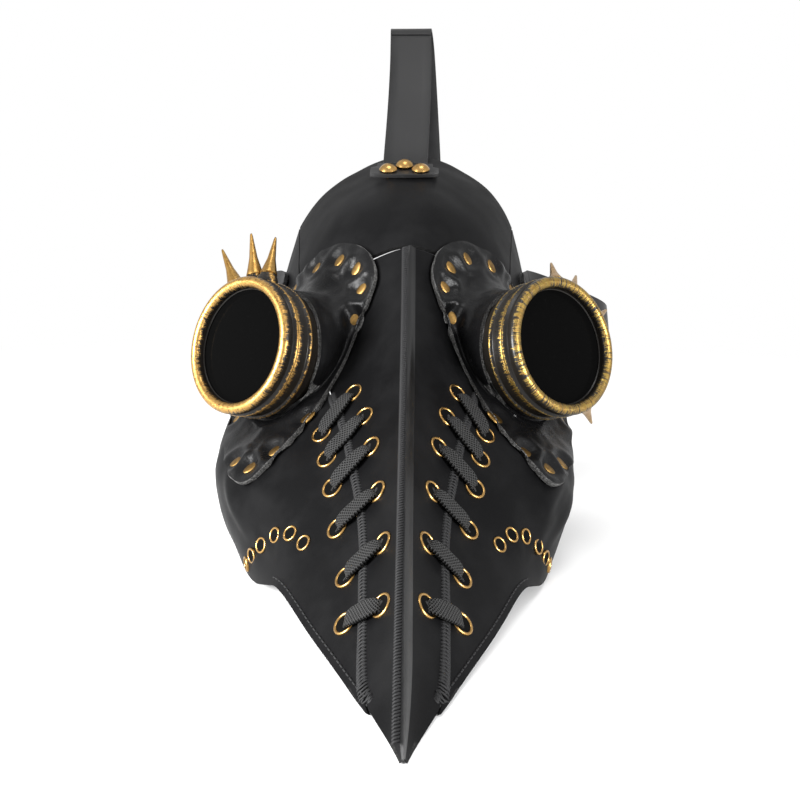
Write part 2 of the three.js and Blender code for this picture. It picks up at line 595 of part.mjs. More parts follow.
function buildGoggle({ tag, side }) {
  const group = goggleGroup(side);
  const barrel = turned(barrelProfile(), 24);
  const seats = SEATS[tag].map(([a, lean]) => onBarrel(spikeSeat(), side, a, lean));
  add(`goggle_barrel_${tag}`, join([barrel, ...seats]), BARREL_LOOK, group);
  add(`bezel_ring_${tag}`, turned(bezelProfile(), 26), GOLD_LOOK, group);
  const lensTop = -LIP - GAP;
  add(`lens_${tag}`, turned([[0, lensTop], [LENS_RADIUS, lensTop], [LENS_RADIUS, lensTop - LENS_THICKNESS],
    [0, lensTop - LENS_THICKNESS]], 24), LENS_LOOK, group);
  const gasketTop = lensTop - LENS_THICKNESS - GAP;
  add(`lens_gasket_${tag}`, turned([[LENS_RADIUS - GASKET_WIDTH, gasketTop], [LENS_RADIUS, gasketTop],
    [LENS_RADIUS, gasketTop - GASKET_THICKNESS], [LENS_RADIUS - GASKET_WIDTH, gasketTop - GASKET_THICKNESS],
    [LENS_RADIUS - GASKET_WIDTH, gasketTop]], 24), RUBBER_LOOK, group);
  SPIKES[tag].forEach(([a, lean], i) => {
    add(`spike_${tag}_${i + 1}`, onBarrel(spike(), side, a, lean), GOLD_LOOK, group);
  });
  add(`eye_flange_${tag}`, goggleFlange(side), FLANGE_LOOK);
}

// ---- Laces ----
// One flat lace a side: over the hide from each inner hole to its outer hole, and under it to the next pair.
const LACE_LIFT = 0.5;        // air between lace and hide
const LACE_CROWN = 0.9;       // how far a rung bulges between its eyelets
const LACE_UNDER_SHARE = 0.7; // the lace lies narrower inside the mask
const LACE_STATIONS = [0, 0.22, 0.5, 0.78, 1];
const LACE_OVER = LACE_THICKNESS / 2 + LACE_LIFT;
const LACE_UNDER = -HIDE - LACE_THICKNESS / 2 - LACE_LIFT;

// A flat run of lace between two holes [v, u]; it narrows where it meets an eyelet.
function laceRun(side, from, to, lift, crown, width) {
  const run = facePoint(side, to[1], to[0]).sub(facePoint(side, from[1], from[0])).normalize();
  return band(LACE_STATIONS.map((k) => {
    const s = skin(side, from[1] + (to[1] - from[1]) * k, from[0] + (to[0] - from[0]) * k);
    const end = k === 0 || k === 1;
    return {
      p: sheetPoint(s, lift + (end ? 0 : crown)),
      w: run.clone().cross(s.n).normalize(),
      t: s.n,
      width: end ? LACE_PINCH : width,
      thick: LACE_THICKNESS,
    };
  }));
}

// The stretch of lace that passes through a hole, square to the run over the hide.
function laceThrough(side, hole, run) {
  const s = skin(side, hole[1], hole[0]);
  const w = run.clone().cross(s.n).normalize();
  const t = s.n.clone().cross(w).normalize();
  const reach = LACE_THICKNESS / 3;
  return band([LACE_OVER + reach, LACE_UNDER - reach].map((lift) => ({
    p: sheetPoint(s, lift), w, t, width: LACE_PINCH, thick: LACE_THICKNESS,
  })));
}

function lace(side) {
  const pieces = [];
  LACED_PAIRS.forEach(([vi, ui, vo, uo], i) => {
    const [inner, outer] = [[vi, ui], [vo, uo]];
    const run = facePoint(side, uo, vo).sub(facePoint(side, ui, vi)).normalize();
    pieces.push(laceRun(side, inner, outer, LACE_OVER, LACE_CROWN, LACE_WIDTH));
    pieces.push(laceThrough(side, inner, run), laceThrough(side, outer, run));
    const next = LACED_PAIRS[i + 1];
    if (next) {
      const width = LACE_WIDTH * LACE_UNDER_SHARE;
      pieces.push(laceRun(side, outer, next.slice(0, 2), LACE_UNDER, -LACE_LIFT, width));
    }
  });
  return join(pieces);
}

// ---- Straps ----
// Crown strap: a tab riveted to the crown, then a loop of strap up, back and down to the back strap.
const CROWN_TAB_PATH = [[-3, 283, 188.3], [-3, 292, 191.6], [-2.6, 300, 195.2]];
const CROWN_FRONT_PATH = [[-2.6, 300.7, 195.6], [-2.3, 308, 203], [-1.5, 320, 217], [-0.6, 336, 236.5],
  [0, 352, 257.5], [0, 366, 276]];
const CROWN_REAR_PATH = [[0, 366.5, 276.7], [0, 371, 280.5], [0.6, 378, 281], [1.8, 385, 275], [3, 391, 264],
  [5.5, 405, 232], [8, 417, 190], [8, 423.5, 145], [8, 423.9, 118], [8, 423.9, 82], [8, 421, 76.6],
  [8, 418.1, 82], [8, 418.1, 106], [8, 421.1, 114], [8, 421.5, 124]];
const CROWN_RIVETS = [[-12, 289], [-3, 295.5], [6, 289]];
const RIVET_SHANK = 1.7;
const RIVET_TAIL = 3.6;
const LOOP_RIVET_Z = 119;

// Back strap: two ends that meet at a buckle, each turning on a temple rivet. Points are for the +X side.
const STRAP_LIFT = 1.0;       // air under the strap end, because the hide below it is curved
const TEMPLE_U = 0.6;
const TEMPLE_V = [0.87, 0.9, 0.93];
const SIDE_PATH = [[104, 328, 110], [121, 346, 102], [126, 366, 96.5], [121, 388, 93.4],
  [108, 407, 92.2], [92, 417.5, 92], [76, 421, 92], [60, 421, 92]];
const STRAP_Y = 421;
const STRAP_Z = 92;
const HEEL_X = -42;
const FRONT_X = HEEL_X + BUCKLE_LENGTH;
const WRAP = BUCKLE_WIRE + GAP + STRAP_THICKNESS / 2;
const FRONT_Y = STRAP_Y + STRAP_THICKNESS / 2 + GAP + BUCKLE_WIRE;
const OVER_Y = STRAP_Y + WRAP + STRAP_THICKNESS + GAP + 0.4;
const STRAP_TIP_X = -84;
const KEEPER_X = -60;
const PRONG_HALF = 1.3;
const PRONG_SLOT = 2.2;

const points = (list) => list.map((p) => vec(...p));
// Rivet with a domed head outside, a shank through `grip` of leather and a flat tail inside.
function rivet(at, axis, radius, grip) {
  const g = turned([[0, RIVET_DOME], [radius * 0.55, RIVET_DOME * 0.86], [radius * 0.9, RIVET_DOME * 0.4],
    [radius, 0.3 * GAP], [radius - 0.6, 0], [RIVET_SHANK, 0], [RIVET_SHANK, -grip], [RIVET_TAIL, -grip],
    [RIVET_TAIL, -grip - 0.9], [0, -grip - 0.9]], 9);
  g.applyQuaternion(new THREE.Quaternion().setFromUnitVectors(vec(0, 1, 0), axis.clone().normalize()));
  return g.translate(at.x, at.y, at.z);
}

const crownAxis = () => vec(0, CROWN_TAB_PATH[0][2] - CROWN_TAB_PATH[2][2], CROWN_TAB_PATH[2][1]
  - CROWN_TAB_PATH[0][1]).normalize();

// Point on the upper face of the crown tab above (x, y).
function crownRivetSeat([x, y]) {
  const [a, , c] = CROWN_TAB_PATH;
  const z = a[2] + (c[2] - a[2]) * (y - a[1]) / (c[1] - a[1]);
  return vec(x, y, z).addScaledVector(crownAxis(), STRAP_THICKNESS / 2 + GAP);
}

const shankPegs = (seats) => seats.map(({ at, axis }) => peg(at, axis, RIVET_SHANK + GAP, 20, 10));
const crownSeats = () => CROWN_RIVETS.map((xy) => ({ at: crownRivetSeat(xy), axis: crownAxis() }));
const CROWN_GRIP = STRAP_THICKNESS + HIDE + 4 * GAP + 0.9;

function crownTab() {
  const width = (f) => (f < 0.05 ? CROWN_TAB_WIDTH - 8 : f < 0.75 ? CROWN_TAB_WIDTH : STRAP_WIDTH + 6);
  const body = band(strapStations(along(points(CROWN_TAB_PATH)), 8, vec(1, 0, 0), width, STRAP_THICKNESS));
  return cut(body, shankPegs(crownSeats()));
}

function templeSeat(side) {
  const s = skin(side, TEMPLE_U, TEMPLE_V[1]);
  return { at: sheetPoint(s, STRAP_THICKNESS + STRAP_LIFT + GAP), axis: s.n };
}

function templeStart(side) {
  const ends = [skin(side, TEMPLE_U, TEMPLE_V[0]), skin(side, TEMPLE_U, TEMPLE_V[2])];
  return ends.map((s) => sheetPoint(s, STRAP_THICKNESS / 2 + STRAP_LIFT));
}

// Width direction of a back strap: flat on the hide at the temple, then upright.
function strapLean(side) {
  const across = 0.08;
  const high = facePoint(side, TEMPLE_U - across, TEMPLE_V[1]);
  const onHide = high.sub(facePoint(side, TEMPLE_U + across, TEMPLE_V[1])).normalize();
  return (f) => onHide.clone().lerp(vec(0, 0, 1), THREE.MathUtils.smoothstep(f, 0.1, 0.4)).normalize();
}

function sidePath(side) {
  const start = templeStart(side);
  const lift = start[1].clone().add(vec(side * 9, 13, -3));
  return [...start, lift, ...SIDE_PATH.map(([x, y, z]) => vec(side * x, y, z))];
}

function longStrap() {
  const tail = points([[30, STRAP_Y, STRAP_Z], [0, STRAP_Y, STRAP_Z], [FRONT_X, STRAP_Y, STRAP_Z],
    [HEEL_X + 4.5, OVER_Y - 0.9, STRAP_Z], [HEEL_X - 4, OVER_Y, STRAP_Z], [KEEPER_X, OVER_Y - 1.6, STRAP_Z],
    [STRAP_TIP_X, OVER_Y - 2.2, STRAP_Z]]);
  const path = along([...sidePath(1), ...tail]);
  const body = band(strapStations(path, 44, strapLean(1), (f) => (f === 1 ? STRAP_WIDTH - 12
    : f > 0.985 ? STRAP_WIDTH - 4 : STRAP_WIDTH), STRAP_THICKNESS));
  const holes = [38, 52, 66].map((x) => peg(vec(x, STRAP_Y, STRAP_Z), vec(0, 1, 0), 2, 12, 10));
  const slot = block((HEEL_X + FRONT_X) / 2 - 2, OVER_Y - 2, STRAP_Z, BUCKLE_LENGTH - 4, 10, 2 * PRONG_SLOT);
  return cut(body, [...holes, slot, ...shankPegs([templeSeat(1)])]);
}

function shortStrap() {
  const bend = [-90, -45, 0, 45, 90].map((a) => [HEEL_X + WRAP * Math.cos(rad(a)), STRAP_Y + WRAP
    * Math.sin(rad(a)), STRAP_Z]);
  const inner = STRAP_Y - WRAP;
  const run = [[-74, STRAP_Y - 2, STRAP_Z], [-64, inner - 0.1, STRAP_Z], [HEEL_X - 8, inner, STRAP_Z]];
  const fold = [[HEEL_X - 5, STRAP_Y + WRAP, STRAP_Z], [HEEL_X - 10, STRAP_Y + WRAP - 0.8, STRAP_Z]];
  const path = along([...sidePath(-1).slice(0, -2), ...points([...run, ...bend, ...fold])]);
  const body = band(strapStations(path, 60, strapLean(-1), STRAP_WIDTH, STRAP_THICKNESS));
  const slot = block(HEEL_X + 0.5, STRAP_Y, STRAP_Z, 2 * WRAP + 7, 2 * WRAP + 6, 2 * PRONG_SLOT);
  return cut(body, [slot, ...shankPegs([templeSeat(-1)])]);
}

// Rod between two points.
function rod(a, b, radius, sides = 8) {
  const run = b.clone().sub(a);
  return peg(a.clone().add(b).multiplyScalar(0.5), run, radius, run.length(), sides);
}

function buckleFrame() {
  const half = STRAP_WIDTH / 2 + BUCKLE_MARGIN + BUCKLE_WIRE;
  const corners = [[HEEL_X, STRAP_Y, -half], [FRONT_X, FRONT_Y, -half], [FRONT_X, FRONT_Y, half],
    [HEEL_X, STRAP_Y, half]].map(([x, y, z]) => vec(x, y, STRAP_Z + z));
  const rods = corners.map((c, i) => rod(c, corners[(i + 1) % 4], BUCKLE_WIRE));
  const knuckle = new THREE.SphereGeometry(BUCKLE_WIRE * 1.02, 8, 6);
  const knuckles = corners.map((c) => knuckle.clone().translate(c.x, c.y, c.z));
  return join([...rods, ...knuckles]);
}

function buckleProng() {
  const heel = vec(HEEL_X, STRAP_Y, STRAP_Z);
  const upright = vec(0, 0, 1);
  const bore = BUCKLE_WIRE + GAP;
  const eyeBlank = peg(heel, upright, bore + PRONG_HALF, 2 * PRONG_HALF, 16);
  const eye = cut(eyeBlank, [peg(heel, upright, bore, 10, 16)]);
  const rest = FRONT_Y + BUCKLE_WIRE + GAP + PRONG_RADIUS;
  const path = along(points([[HEEL_X + 2.4, STRAP_Y + 1.2, STRAP_Z], [HEEL_X + 8, STRAP_Y + 4.4, STRAP_Z],
    [HEEL_X + 15, rest - 0.2, STRAP_Z], [FRONT_X, rest, STRAP_Z], [FRONT_X + 3, rest - 0.2, STRAP_Z]]));
  const arm = band(strapStations(path, 8, vec(0, 0, 1), 2 * PRONG_HALF, 2 * PRONG_RADIUS));
  return join([eye, arm]);
}

function keeper() {
  const inX = KEEPER_WIDTH;
  const low = STRAP_Y - WRAP - STRAP_THICKNESS / 2 - 1;
  const high = OVER_Y + STRAP_THICKNESS / 2 + 1;
  const depth = high - low;
  const open = STRAP_WIDTH + 2 * GAP + 1;
  const t = KEEPER_THICKNESS;
  const middle = (low + high) / 2;
  return cut(block(KEEPER_X, middle, STRAP_Z, inX, depth + 2 * t, open + 2 * t),
    [block(KEEPER_X, middle, STRAP_Z, inX + 4, depth, open)]);
}

function crownRear() {
  const path = along(points(CROWN_REAR_PATH));
  const body = band(strapStations(path, 36, vec(1, 0, 0), STRAP_WIDTH, STRAP_THICKNESS));
  return cut(body, shankPegs([loopSeat()]));
}

const loopSeat = () => ({ at: vec(8, 424.9 + GAP, LOOP_RIVET_Z), axis: vec(0, 1, 0) });

// ---- Assembly ----
for (const s of SIDES) {
  add(`cheek_panel_${s.tag}`, cheekPanel(s.side), LEATHER_LOOK);
  add(`beak_panel_${s.tag}`, beakPanel(s.side), LEATHER_LOOK);
  add(`beak_hem_${s.tag}`, beakHem(s.side), LEATHER_LOOK);
  add(`jaw_tab_${s.tag}`, jawTab(s.side), LEATHER_LOOK);
  add(`lace_${s.tag}`, lace(s.side), LACE_LOOK);
  VENTS.forEach(([v, u], i) => add(`vent_eyelet_${s.tag}_${i + 1}`, eyelet(skin(s.side, u, v)), BRASS_LOOK));
  buildGoggle(s);
}
add('forehead_panel', foreheadPanel(), LEATHER_LOOK);
add('ridge_welt', ridgeWelt(), LEATHER_LOOK);
add('crown_strap_tab', crownTab(), STRAP_LOOK);
add('crown_strap_front', band(strapStations(along(points(CROWN_FRONT_PATH)), 14, vec(1, 0, 0), STRAP_WIDTH,
  STRAP_THICKNESS)), STRAP_LOOK);
add('crown_strap_rear', crownRear(), STRAP_LOOK);
crownSeats().forEach(({ at, axis }, i) => {
  add(`crown_rivet_${i + 1}`, rivet(at, axis, CROWN_RIVET_RADIUS, CROWN_GRIP), BRASS_LOOK);
});
add('loop_rivet', rivet(loopSeat().at, loopSeat().axis, 4, 2 * STRAP_THICKNESS + 3 * GAP + 0.6), BRASS_LOOK);
add('back_strap_long', longStrap(), STRAP_LOOK);
add('back_strap_short', shortStrap(), STRAP_LOOK);
for (const { tag, side } of SIDES) {
  const { at, axis } = templeSeat(side);
  add(`temple_rivet_${tag}`, rivet(at, axis, TEMPLE_RIVET_RADIUS,
    STRAP_THICKNESS + HIDE + STRAP_LIFT + 3 * GAP), BRASS_LOOK);
}
add('buckle_frame', buckleFrame(), GOLD_LOOK);
add('buckle_prong', buckleProng(), GOLD_LOOK);
add('strap_keeper', keeper(), STRAP_LOOK);

// The origin is the bottom centre of the whole object.
const bounds = new THREE.Box3().setFromObject(mask, true);
mask.position.set(-(bounds.min.x + bounds.max.x) / 2, -(bounds.min.y + bounds.max.y) / 2, -bounds.min.z);

export default mask;
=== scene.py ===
"""Plague doctor mask: a laced leather beak and hood with two screw-ringed goggles and a buckled head strap.

Metres, +X is the wearer's left, -Y is where the beak points, +Z is up. Names ending in _l are the wearer's
left.
"""

import contextlib
import json
import math

import bmesh
import bpy
import numpy as np
from mathutils import Matrix, Vector, noise
from mathutils.bvhtree import BVHTree

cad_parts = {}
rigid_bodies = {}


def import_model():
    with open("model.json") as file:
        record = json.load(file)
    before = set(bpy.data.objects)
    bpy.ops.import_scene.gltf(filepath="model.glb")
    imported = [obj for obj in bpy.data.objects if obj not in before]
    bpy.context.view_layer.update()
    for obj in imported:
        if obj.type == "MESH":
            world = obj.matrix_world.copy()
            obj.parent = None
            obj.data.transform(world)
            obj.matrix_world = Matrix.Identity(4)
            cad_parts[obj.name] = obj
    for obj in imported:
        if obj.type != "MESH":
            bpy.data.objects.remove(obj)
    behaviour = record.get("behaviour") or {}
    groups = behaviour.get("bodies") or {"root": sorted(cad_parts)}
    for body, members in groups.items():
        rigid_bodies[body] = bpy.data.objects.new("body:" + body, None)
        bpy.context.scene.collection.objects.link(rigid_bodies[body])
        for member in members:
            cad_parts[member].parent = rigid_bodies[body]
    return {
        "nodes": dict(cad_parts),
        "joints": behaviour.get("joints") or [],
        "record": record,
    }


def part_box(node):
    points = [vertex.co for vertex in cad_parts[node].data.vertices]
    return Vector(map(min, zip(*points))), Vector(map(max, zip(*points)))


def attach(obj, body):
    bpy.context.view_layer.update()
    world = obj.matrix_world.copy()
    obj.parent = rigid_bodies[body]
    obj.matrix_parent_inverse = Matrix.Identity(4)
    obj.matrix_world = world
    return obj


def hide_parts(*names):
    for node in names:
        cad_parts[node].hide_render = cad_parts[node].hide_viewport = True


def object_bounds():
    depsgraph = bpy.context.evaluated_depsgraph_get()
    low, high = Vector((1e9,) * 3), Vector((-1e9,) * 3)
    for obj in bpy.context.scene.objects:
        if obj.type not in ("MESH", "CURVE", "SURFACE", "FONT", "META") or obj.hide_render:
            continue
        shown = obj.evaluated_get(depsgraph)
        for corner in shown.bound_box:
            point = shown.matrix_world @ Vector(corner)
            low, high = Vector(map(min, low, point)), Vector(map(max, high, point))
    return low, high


bl_info = {
    "name": "Plague Doctor Mask",
    "version": (1, 0, 0),
    "blender": (4, 5, 0),
    "location": "3D View > Sidebar > Mask",
    "description": "Finishes a laced leather beak mask round its frame",
    "category": "Add Mesh",
}

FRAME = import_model()
CAD_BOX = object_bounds()
NODES = FRAME["nodes"]
JOINTS = {joint["name"]: joint for joint in FRAME["joints"]}
SIDES = {"l": 1, "r": -1}
MM = 0.001
PROUD = 3 * MM  # how far the finished goggles stand out from the frame's
HEAD_BACK = 12 * MM  # "inside" is this far behind a point of the hide,
HEAD_SHARE = 0.6     # at this share of its height,
HEAD_TOP = 90 * MM   # and never higher than this
TIP_REACH = 34 * MM  # length of the beak's end that is drawn to a point
TIP_DRAW = 12 * MM   # how far its very tip is drawn forward
SMALLEST_LACED = 2.85 * MM  # a round hole above this radius takes the lace
SMALLEST_VENT = 2.15 * MM   # and one above this, a vent
CAMERA_PLACE = (4.32 * MM, -497.98 * MM, 160.4 * MM)
CAMERA_TURN = (math.radians(80), 0, math.radians(0.957))


# ---- Sizes and colours ----
def length(name, description, default):
    return bpy.props.FloatProperty(name=name, description=description, default=default, unit="LENGTH")


def colour(name, description, default):
    return bpy.props.FloatVectorProperty(name=name, description=description, default=default,
                                         subtype="COLOR", size=4, min=0, max=1)


class MaskSizes(bpy.types.PropertyGroup):
    bezel_radius: length("Bezel radius", "Outer radius of a goggle's front ring", 34.3 * MM)
    lens_opening: length("Lens opening", "Radius of the opening in the front ring", 28.2 * MM)
    barrel_radius: length("Barrel radius", "Radius of the band behind the front ring", 33.0 * MM)
    barrel_band: length("Barrel band", "Length of the black band between the rings", 10.0 * MM)
    spike_length: length("Spike length", "Height of a spike above its collar", 23.0 * MM)
    eyelet_radius: length("Eyelet radius", "Outer radius of a laced eyelet", 5.2 * MM)
    vent_radius: length("Vent radius", "Outer radius of a vent eyelet", 3.7 * MM)
    lace_width: length("Lace width", "Width of the flat lace", 8.2 * MM)
    lace_thickness: length("Lace thickness", "Thickness of the flat lace", 1.5 * MM)
    flange_rivet_radius: length("Flange rivet radius", "Radius of a flat flange rivet", 4.6 * MM)
    stitch_length: length("Stitch length", "Length of a hem stitch", 2.6 * MM)
    thread_radius: length("Thread radius", "Radius of the sewing thread", 0.42 * MM)
    undulation: length("Undulation", "How far the hide wanders from a smooth form", 0.9 * MM)


class MaskColours(bpy.types.PropertyGroup):
    hide: colour("Hide", "Face leather", (0.0026, 0.0026, 0.0028, 1))
    hide_worn: colour("Worn hide", "Face leather where it is rubbed", (0.0065, 0.0065, 0.0068, 1))
    cut_edge: colour("Cut edge", "Raw fibre at a cut edge", (0.14, 0.138, 0.135, 1))
    gold: colour("Gold", "Antique gold paint", (0.38, 0.23, 0.07, 1))
    gold_dull: colour("Dull gold", "Gold paint in its hollows", (0.22, 0.115, 0.03, 1))
    black_paint: colour("Black paint", "Base paint of the goggles", (0.006, 0.005, 0.004, 1))
    aged_brass: colour("Aged brass", "Flat rivets", (0.26, 0.155, 0.05, 1))
    bright_brass: colour("Bright brass", "Rolled eyelets and domed rivets", (0.42, 0.25, 0.085, 1))
    lace: colour("Lace", "Woven lace", (0.0045, 0.0045, 0.0045, 1))
    thread: colour("Thread", "Sewing thread", (0.006, 0.006, 0.0063, 1))
    floor: colour("Floor", "Pale studio floor", (0.72, 0.72, 0.72, 1))


def sizes():
    return bpy.context.scene.mask_sizes


def colours():
    return bpy.context.scene.mask_colours


# ---- Working with meshes ----
def pick_nothing():
    if bpy.context.object and bpy.context.object.mode != "OBJECT":
        bpy.ops.object.mode_set(mode="OBJECT")
    bpy.ops.object.select_all(action="DESELECT")


def pick(*objects):
    pick_nothing()
    for obj in objects:
        obj.select_set(True)
    bpy.context.view_layer.objects.active = objects[0]


@contextlib.contextmanager
def editing(obj, mode="VERT"):
    pick(obj)
    bpy.ops.object.mode_set(mode="EDIT")
    bpy.ops.mesh.select_mode(type=mode)
    try:
        yield
    finally:
        bpy.ops.object.mode_set(mode="OBJECT")


def select_where(obj, kind, test):
    """In edit mode, selects only the verts, edges or faces that pass a test."""
    bpy.ops.mesh.select_all(action="DESELECT")
    bm = bmesh.from_edit_mesh(obj.data)
    for element in getattr(bm, kind):
        if test(element):
            element.select_set(True)
    bmesh.update_edit_mesh(obj.data)


def link_mesh(name, mesh):
    obj = bpy.data.objects.new(name, mesh)
    bpy.context.scene.collection.objects.link(obj)
    return obj


def copy_of(node, name):
    """A copy of a frame node with its loose triangles merged and paired into quads."""
    mesh = NODES[node].data.copy()
    mesh.materials.clear()
    obj = link_mesh(name, mesh)
    with editing(obj):
        bpy.ops.mesh.customdata_custom_splitnormals_clear()
        bpy.ops.mesh.select_all(action="SELECT")
        bpy.ops.mesh.remove_doubles(threshold=0.01 * MM)
        bpy.ops.mesh.tris_convert_to_quads(face_threshold=math.radians(40), shape_threshold=math.radians(70))
    return obj


def modify(obj, kind, **values):
    modifier = obj.modifiers.new(kind.title(), kind)
    for key, value in values.items():
        setattr(modifier, key, value)
    pick(obj)
    bpy.ops.object.modifier_apply(modifier=modifier.name)


def subdivide(obj, levels):
    modify(obj, "SUBSURF", levels=levels, render_levels=levels)


def bevel_sharp(obj, width, degrees):
    modify(obj, "BEVEL", width=width, segments=2, limit_method="ANGLE", angle_limit=math.radians(degrees))


def crease_sharp(obj, degrees):
    with editing(obj, "EDGE"):
        bpy.ops.mesh.select_all(action="DESELECT")
        bm = bmesh.from_edit_mesh(obj.data)
        layer = bm.edges.layers.float.get("crease_edge") or bm.edges.layers.float.new("crease_edge")
        for edge in bm.edges:
            if len(edge.link_faces) == 2 and edge.calc_face_angle(0) > math.radians(degrees):
                edge[layer] = 1.0
        bmesh.update_edit_mesh(obj.data)


def smooth(obj, degrees=40):
    pick(obj)
    bpy.ops.object.shade_smooth_by_angle(angle=math.radians(degrees))


def coordinates(obj):
    flat = np.empty(len(obj.data.vertices) * 3)
    obj.data.vertices.foreach_get("co", flat)
    return flat.reshape(-1, 3)


def normals(obj):
    flat = np.empty(len(obj.data.vertices) * 3)
    obj.data.vertices.foreach_get("normal", flat)
    return flat.reshape(-1, 3)


def set_coordinates(obj, points):
    obj.data.vertices.foreach_set("co", points.ravel())
    obj.data.update()


def fall(distance, reach):
    """1 at no distance, easing to 0 at reach."""
    t = np.clip(1 - np.asarray(distance) / reach, 0, 1)
    return t * t * (3 - 2 * t)


def surface_of(*objects):
    """A surface to drop points on, from several meshes."""
    points, faces = [], []
    for obj in objects:
        start = len(points)
        points.extend(v.co.copy() for v in obj.data.vertices)
        faces.extend([start + i for i in p.vertices] for p in obj.data.polygons)
    return BVHTree.FromPolygons(points, faces)


def spun(name, profile, centre, axis, steps=64, bevel=0.0):
    """A turned piece. profile holds (radius, height along the axis) and closes on itself."""
    axis = axis.normalized()
    across = axis.orthogonal().normalized()
    pick_nothing()
    bpy.ops.mesh.primitive_circle_add(vertices=len(profile), radius=1, fill_type="NOTHING")
    obj = bpy.context.object
    obj.name = name
    for vertex, (radius, height) in zip(obj.data.vertices, profile):
        vertex.co = centre + across * radius + axis * height
    with editing(obj):
        bpy.ops.mesh.select_all(action="SELECT")
        bpy.ops.mesh.spin(steps=steps, angle=math.tau, center=centre, axis=axis)
        bpy.ops.mesh.select_all(action="SELECT")
        bpy.ops.mesh.remove_doubles(threshold=0.005 * MM)
        bpy.ops.mesh.normals_make_consistent(inside=False)
    if bevel:
        bevel_sharp(obj, bevel, 40)
    smooth(obj)
    return obj


def arc(centre, radius, start, end, count):
    """Profile points along an arc, angles in degrees from straight out towards the front."""
    return [(centre[0] + radius * math.cos(math.radians(a)), centre[1] + radius * math.sin(math.radians(a)))
            for a in np.linspace(start, end, count)]


def frame_matrix(point, up, forward=None):
    """Places a piece that stands on its local Z at a point."""
    z = up.normalized()
    x = (forward or z.orthogonal()).cross(z)
    x = x.normalized() if x.length > 1e-9 else z.orthogonal().normalized()
    y = z.cross(x)
    return Matrix.Translation(point) @ Matrix((x, y, z)).transposed().to_4x4()


def strew(name, pattern, places):
    """One piece made of copies of a pattern at each place, which is a matrix."""
    copies = []
    for place in places:
        mesh = pattern.data.copy()
        mesh.transform(place)
        copies.append(link_mesh(name, mesh))
    pick(*copies)
    bpy.ops.object.join()
    obj = bpy.context.object
    obj.name = name
    return obj


def discard(obj):
    bpy.data.objects.remove(obj)


def finish_piece(obj, material, body, replaces=()):
    if material:
        obj.data.materials.clear()
        obj.data.materials.append(material)
    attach(obj, body)
    if replaces:
        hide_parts(*replaces)
    return obj


def finish_strewn(name, pattern, places, finish, replaces=()):
    """A hood piece made of copies of a pattern, in a finish by name."""
    return finish_piece(strew(name, pattern, places), look(finish), "hood", replaces)


# ---- Places taken from the frame ----
class Goggle:
    """Centre of the front ring, its axis and the directions across it."""

    def __init__(self, tag):
        joint = JOINTS[f"bezel_turn_{tag}"]
        self.tag, self.side = tag, SIDES[tag]
        self.axis = Vector(joint["axis"]).normalized()
        self.centre = Vector(joint["pos_m"]) + self.axis * PROUD
        self.up = (Vector((0, 0, 1)) - self.axis * self.axis.z).normalized()
        self.out = self.up.cross(self.axis) * self.side

    def polar(self, degrees, radius, along=0.0):
        angle = math.radians(degrees)
        return (self.centre + self.axis * along + self.up * radius * math.cos(angle)
                + self.out * radius * math.sin(angle))


GOGGLES = {tag: Goggle(tag) for tag in SIDES}


def round_holes(obj):
    """Round holes through a sheet: their centre, axis, radius and rim vertices, found by their sharp rims."""
    bm = bmesh.new()
    bm.from_mesh(obj.data)
    bm.normal_update()
    sharp = {v: [] for v in bm.verts}
    for edge in bm.edges:
        if len(edge.link_faces) == 2 and edge.calc_face_angle(0) > math.radians(33):
            for v in edge.verts:
                sharp[v].append(edge.other_vert(v))
    holes, seen = [], set()
    for seed in bm.verts:
        if seed in seen or not sharp[seed]:
            continue
        group, queue = [], [seed]
        seen.add(seed)
        while queue:
            v = queue.pop()
            group.append(v)
            for w in sharp[v]:
                if w not in seen:
                    seen.add(w)
                    queue.append(w)
        points = np.array([v.co for v in group])
        centre = points.mean(0)
        if np.abs(points - centre).max() > 5 * MM or len(group) < 10:
            continue
        spread, directions = np.linalg.eigh(np.cov((points - centre).T))
        holes.append({"centre": Vector(centre), "axis": Vector(directions[:, 0]),
                      "radius": math.sqrt(spread[1] + spread[2]), "rim": {v.index for v in group}})
    bm.free()
    return holes


def close_holes(obj, holes):
    """Fills the holes and dissolves their rims, so that the sheet subdivides evenly."""
    walls = {index: hole["axis"] for hole in holes for index in hole["rim"]}
    with editing(obj):
        bm = bmesh.from_edit_mesh(obj.data)
        bm.verts.ensure_lookup_table()
        layer = bm.verts.layers.int.new("rim")
        for index in walls:
            bm.verts[index][layer] = 1

        def is_wall(face):
            if not all(v.index in walls for v in face.verts):
                return False
            return abs(face.normal.dot(walls[face.verts[0].index])) < 0.5

        bpy.ops.mesh.select_mode(type="FACE")
        select_where(obj, "faces", is_wall)
        bpy.ops.mesh.delete(type="ONLY_FACE")
        bpy.ops.mesh.select_mode(type="VERT")
        for after in (lambda: bpy.ops.mesh.fill_holes(sides=64), bpy.ops.mesh.dissolve_verts):
            layer = bmesh.from_edit_mesh(obj.data).verts.layers.int["rim"]
            select_where(obj, "verts", lambda v: v[layer] == 1)
            after()


# ---- Sculpting the hide ----
def outward(points):
    """Away from the wearer's face at each point, the same for both faces of a hide."""
    inside = np.stack([np.zeros(len(points)), points[:, 1] + HEAD_BACK,
                       np.minimum(points[:, 2] * HEAD_SHARE, HEAD_TOP)], 1)
    away = points - inside
    return away / np.linalg.norm(away, axis=1)[:, None]


def wander(points, scale, seed):
    """Smooth noise from -1 to 1 at each point."""
    shift = Vector((seed, seed * 0.7, -seed))
    return np.array([noise.noise(Vector(p) / scale + shift) for p in points])


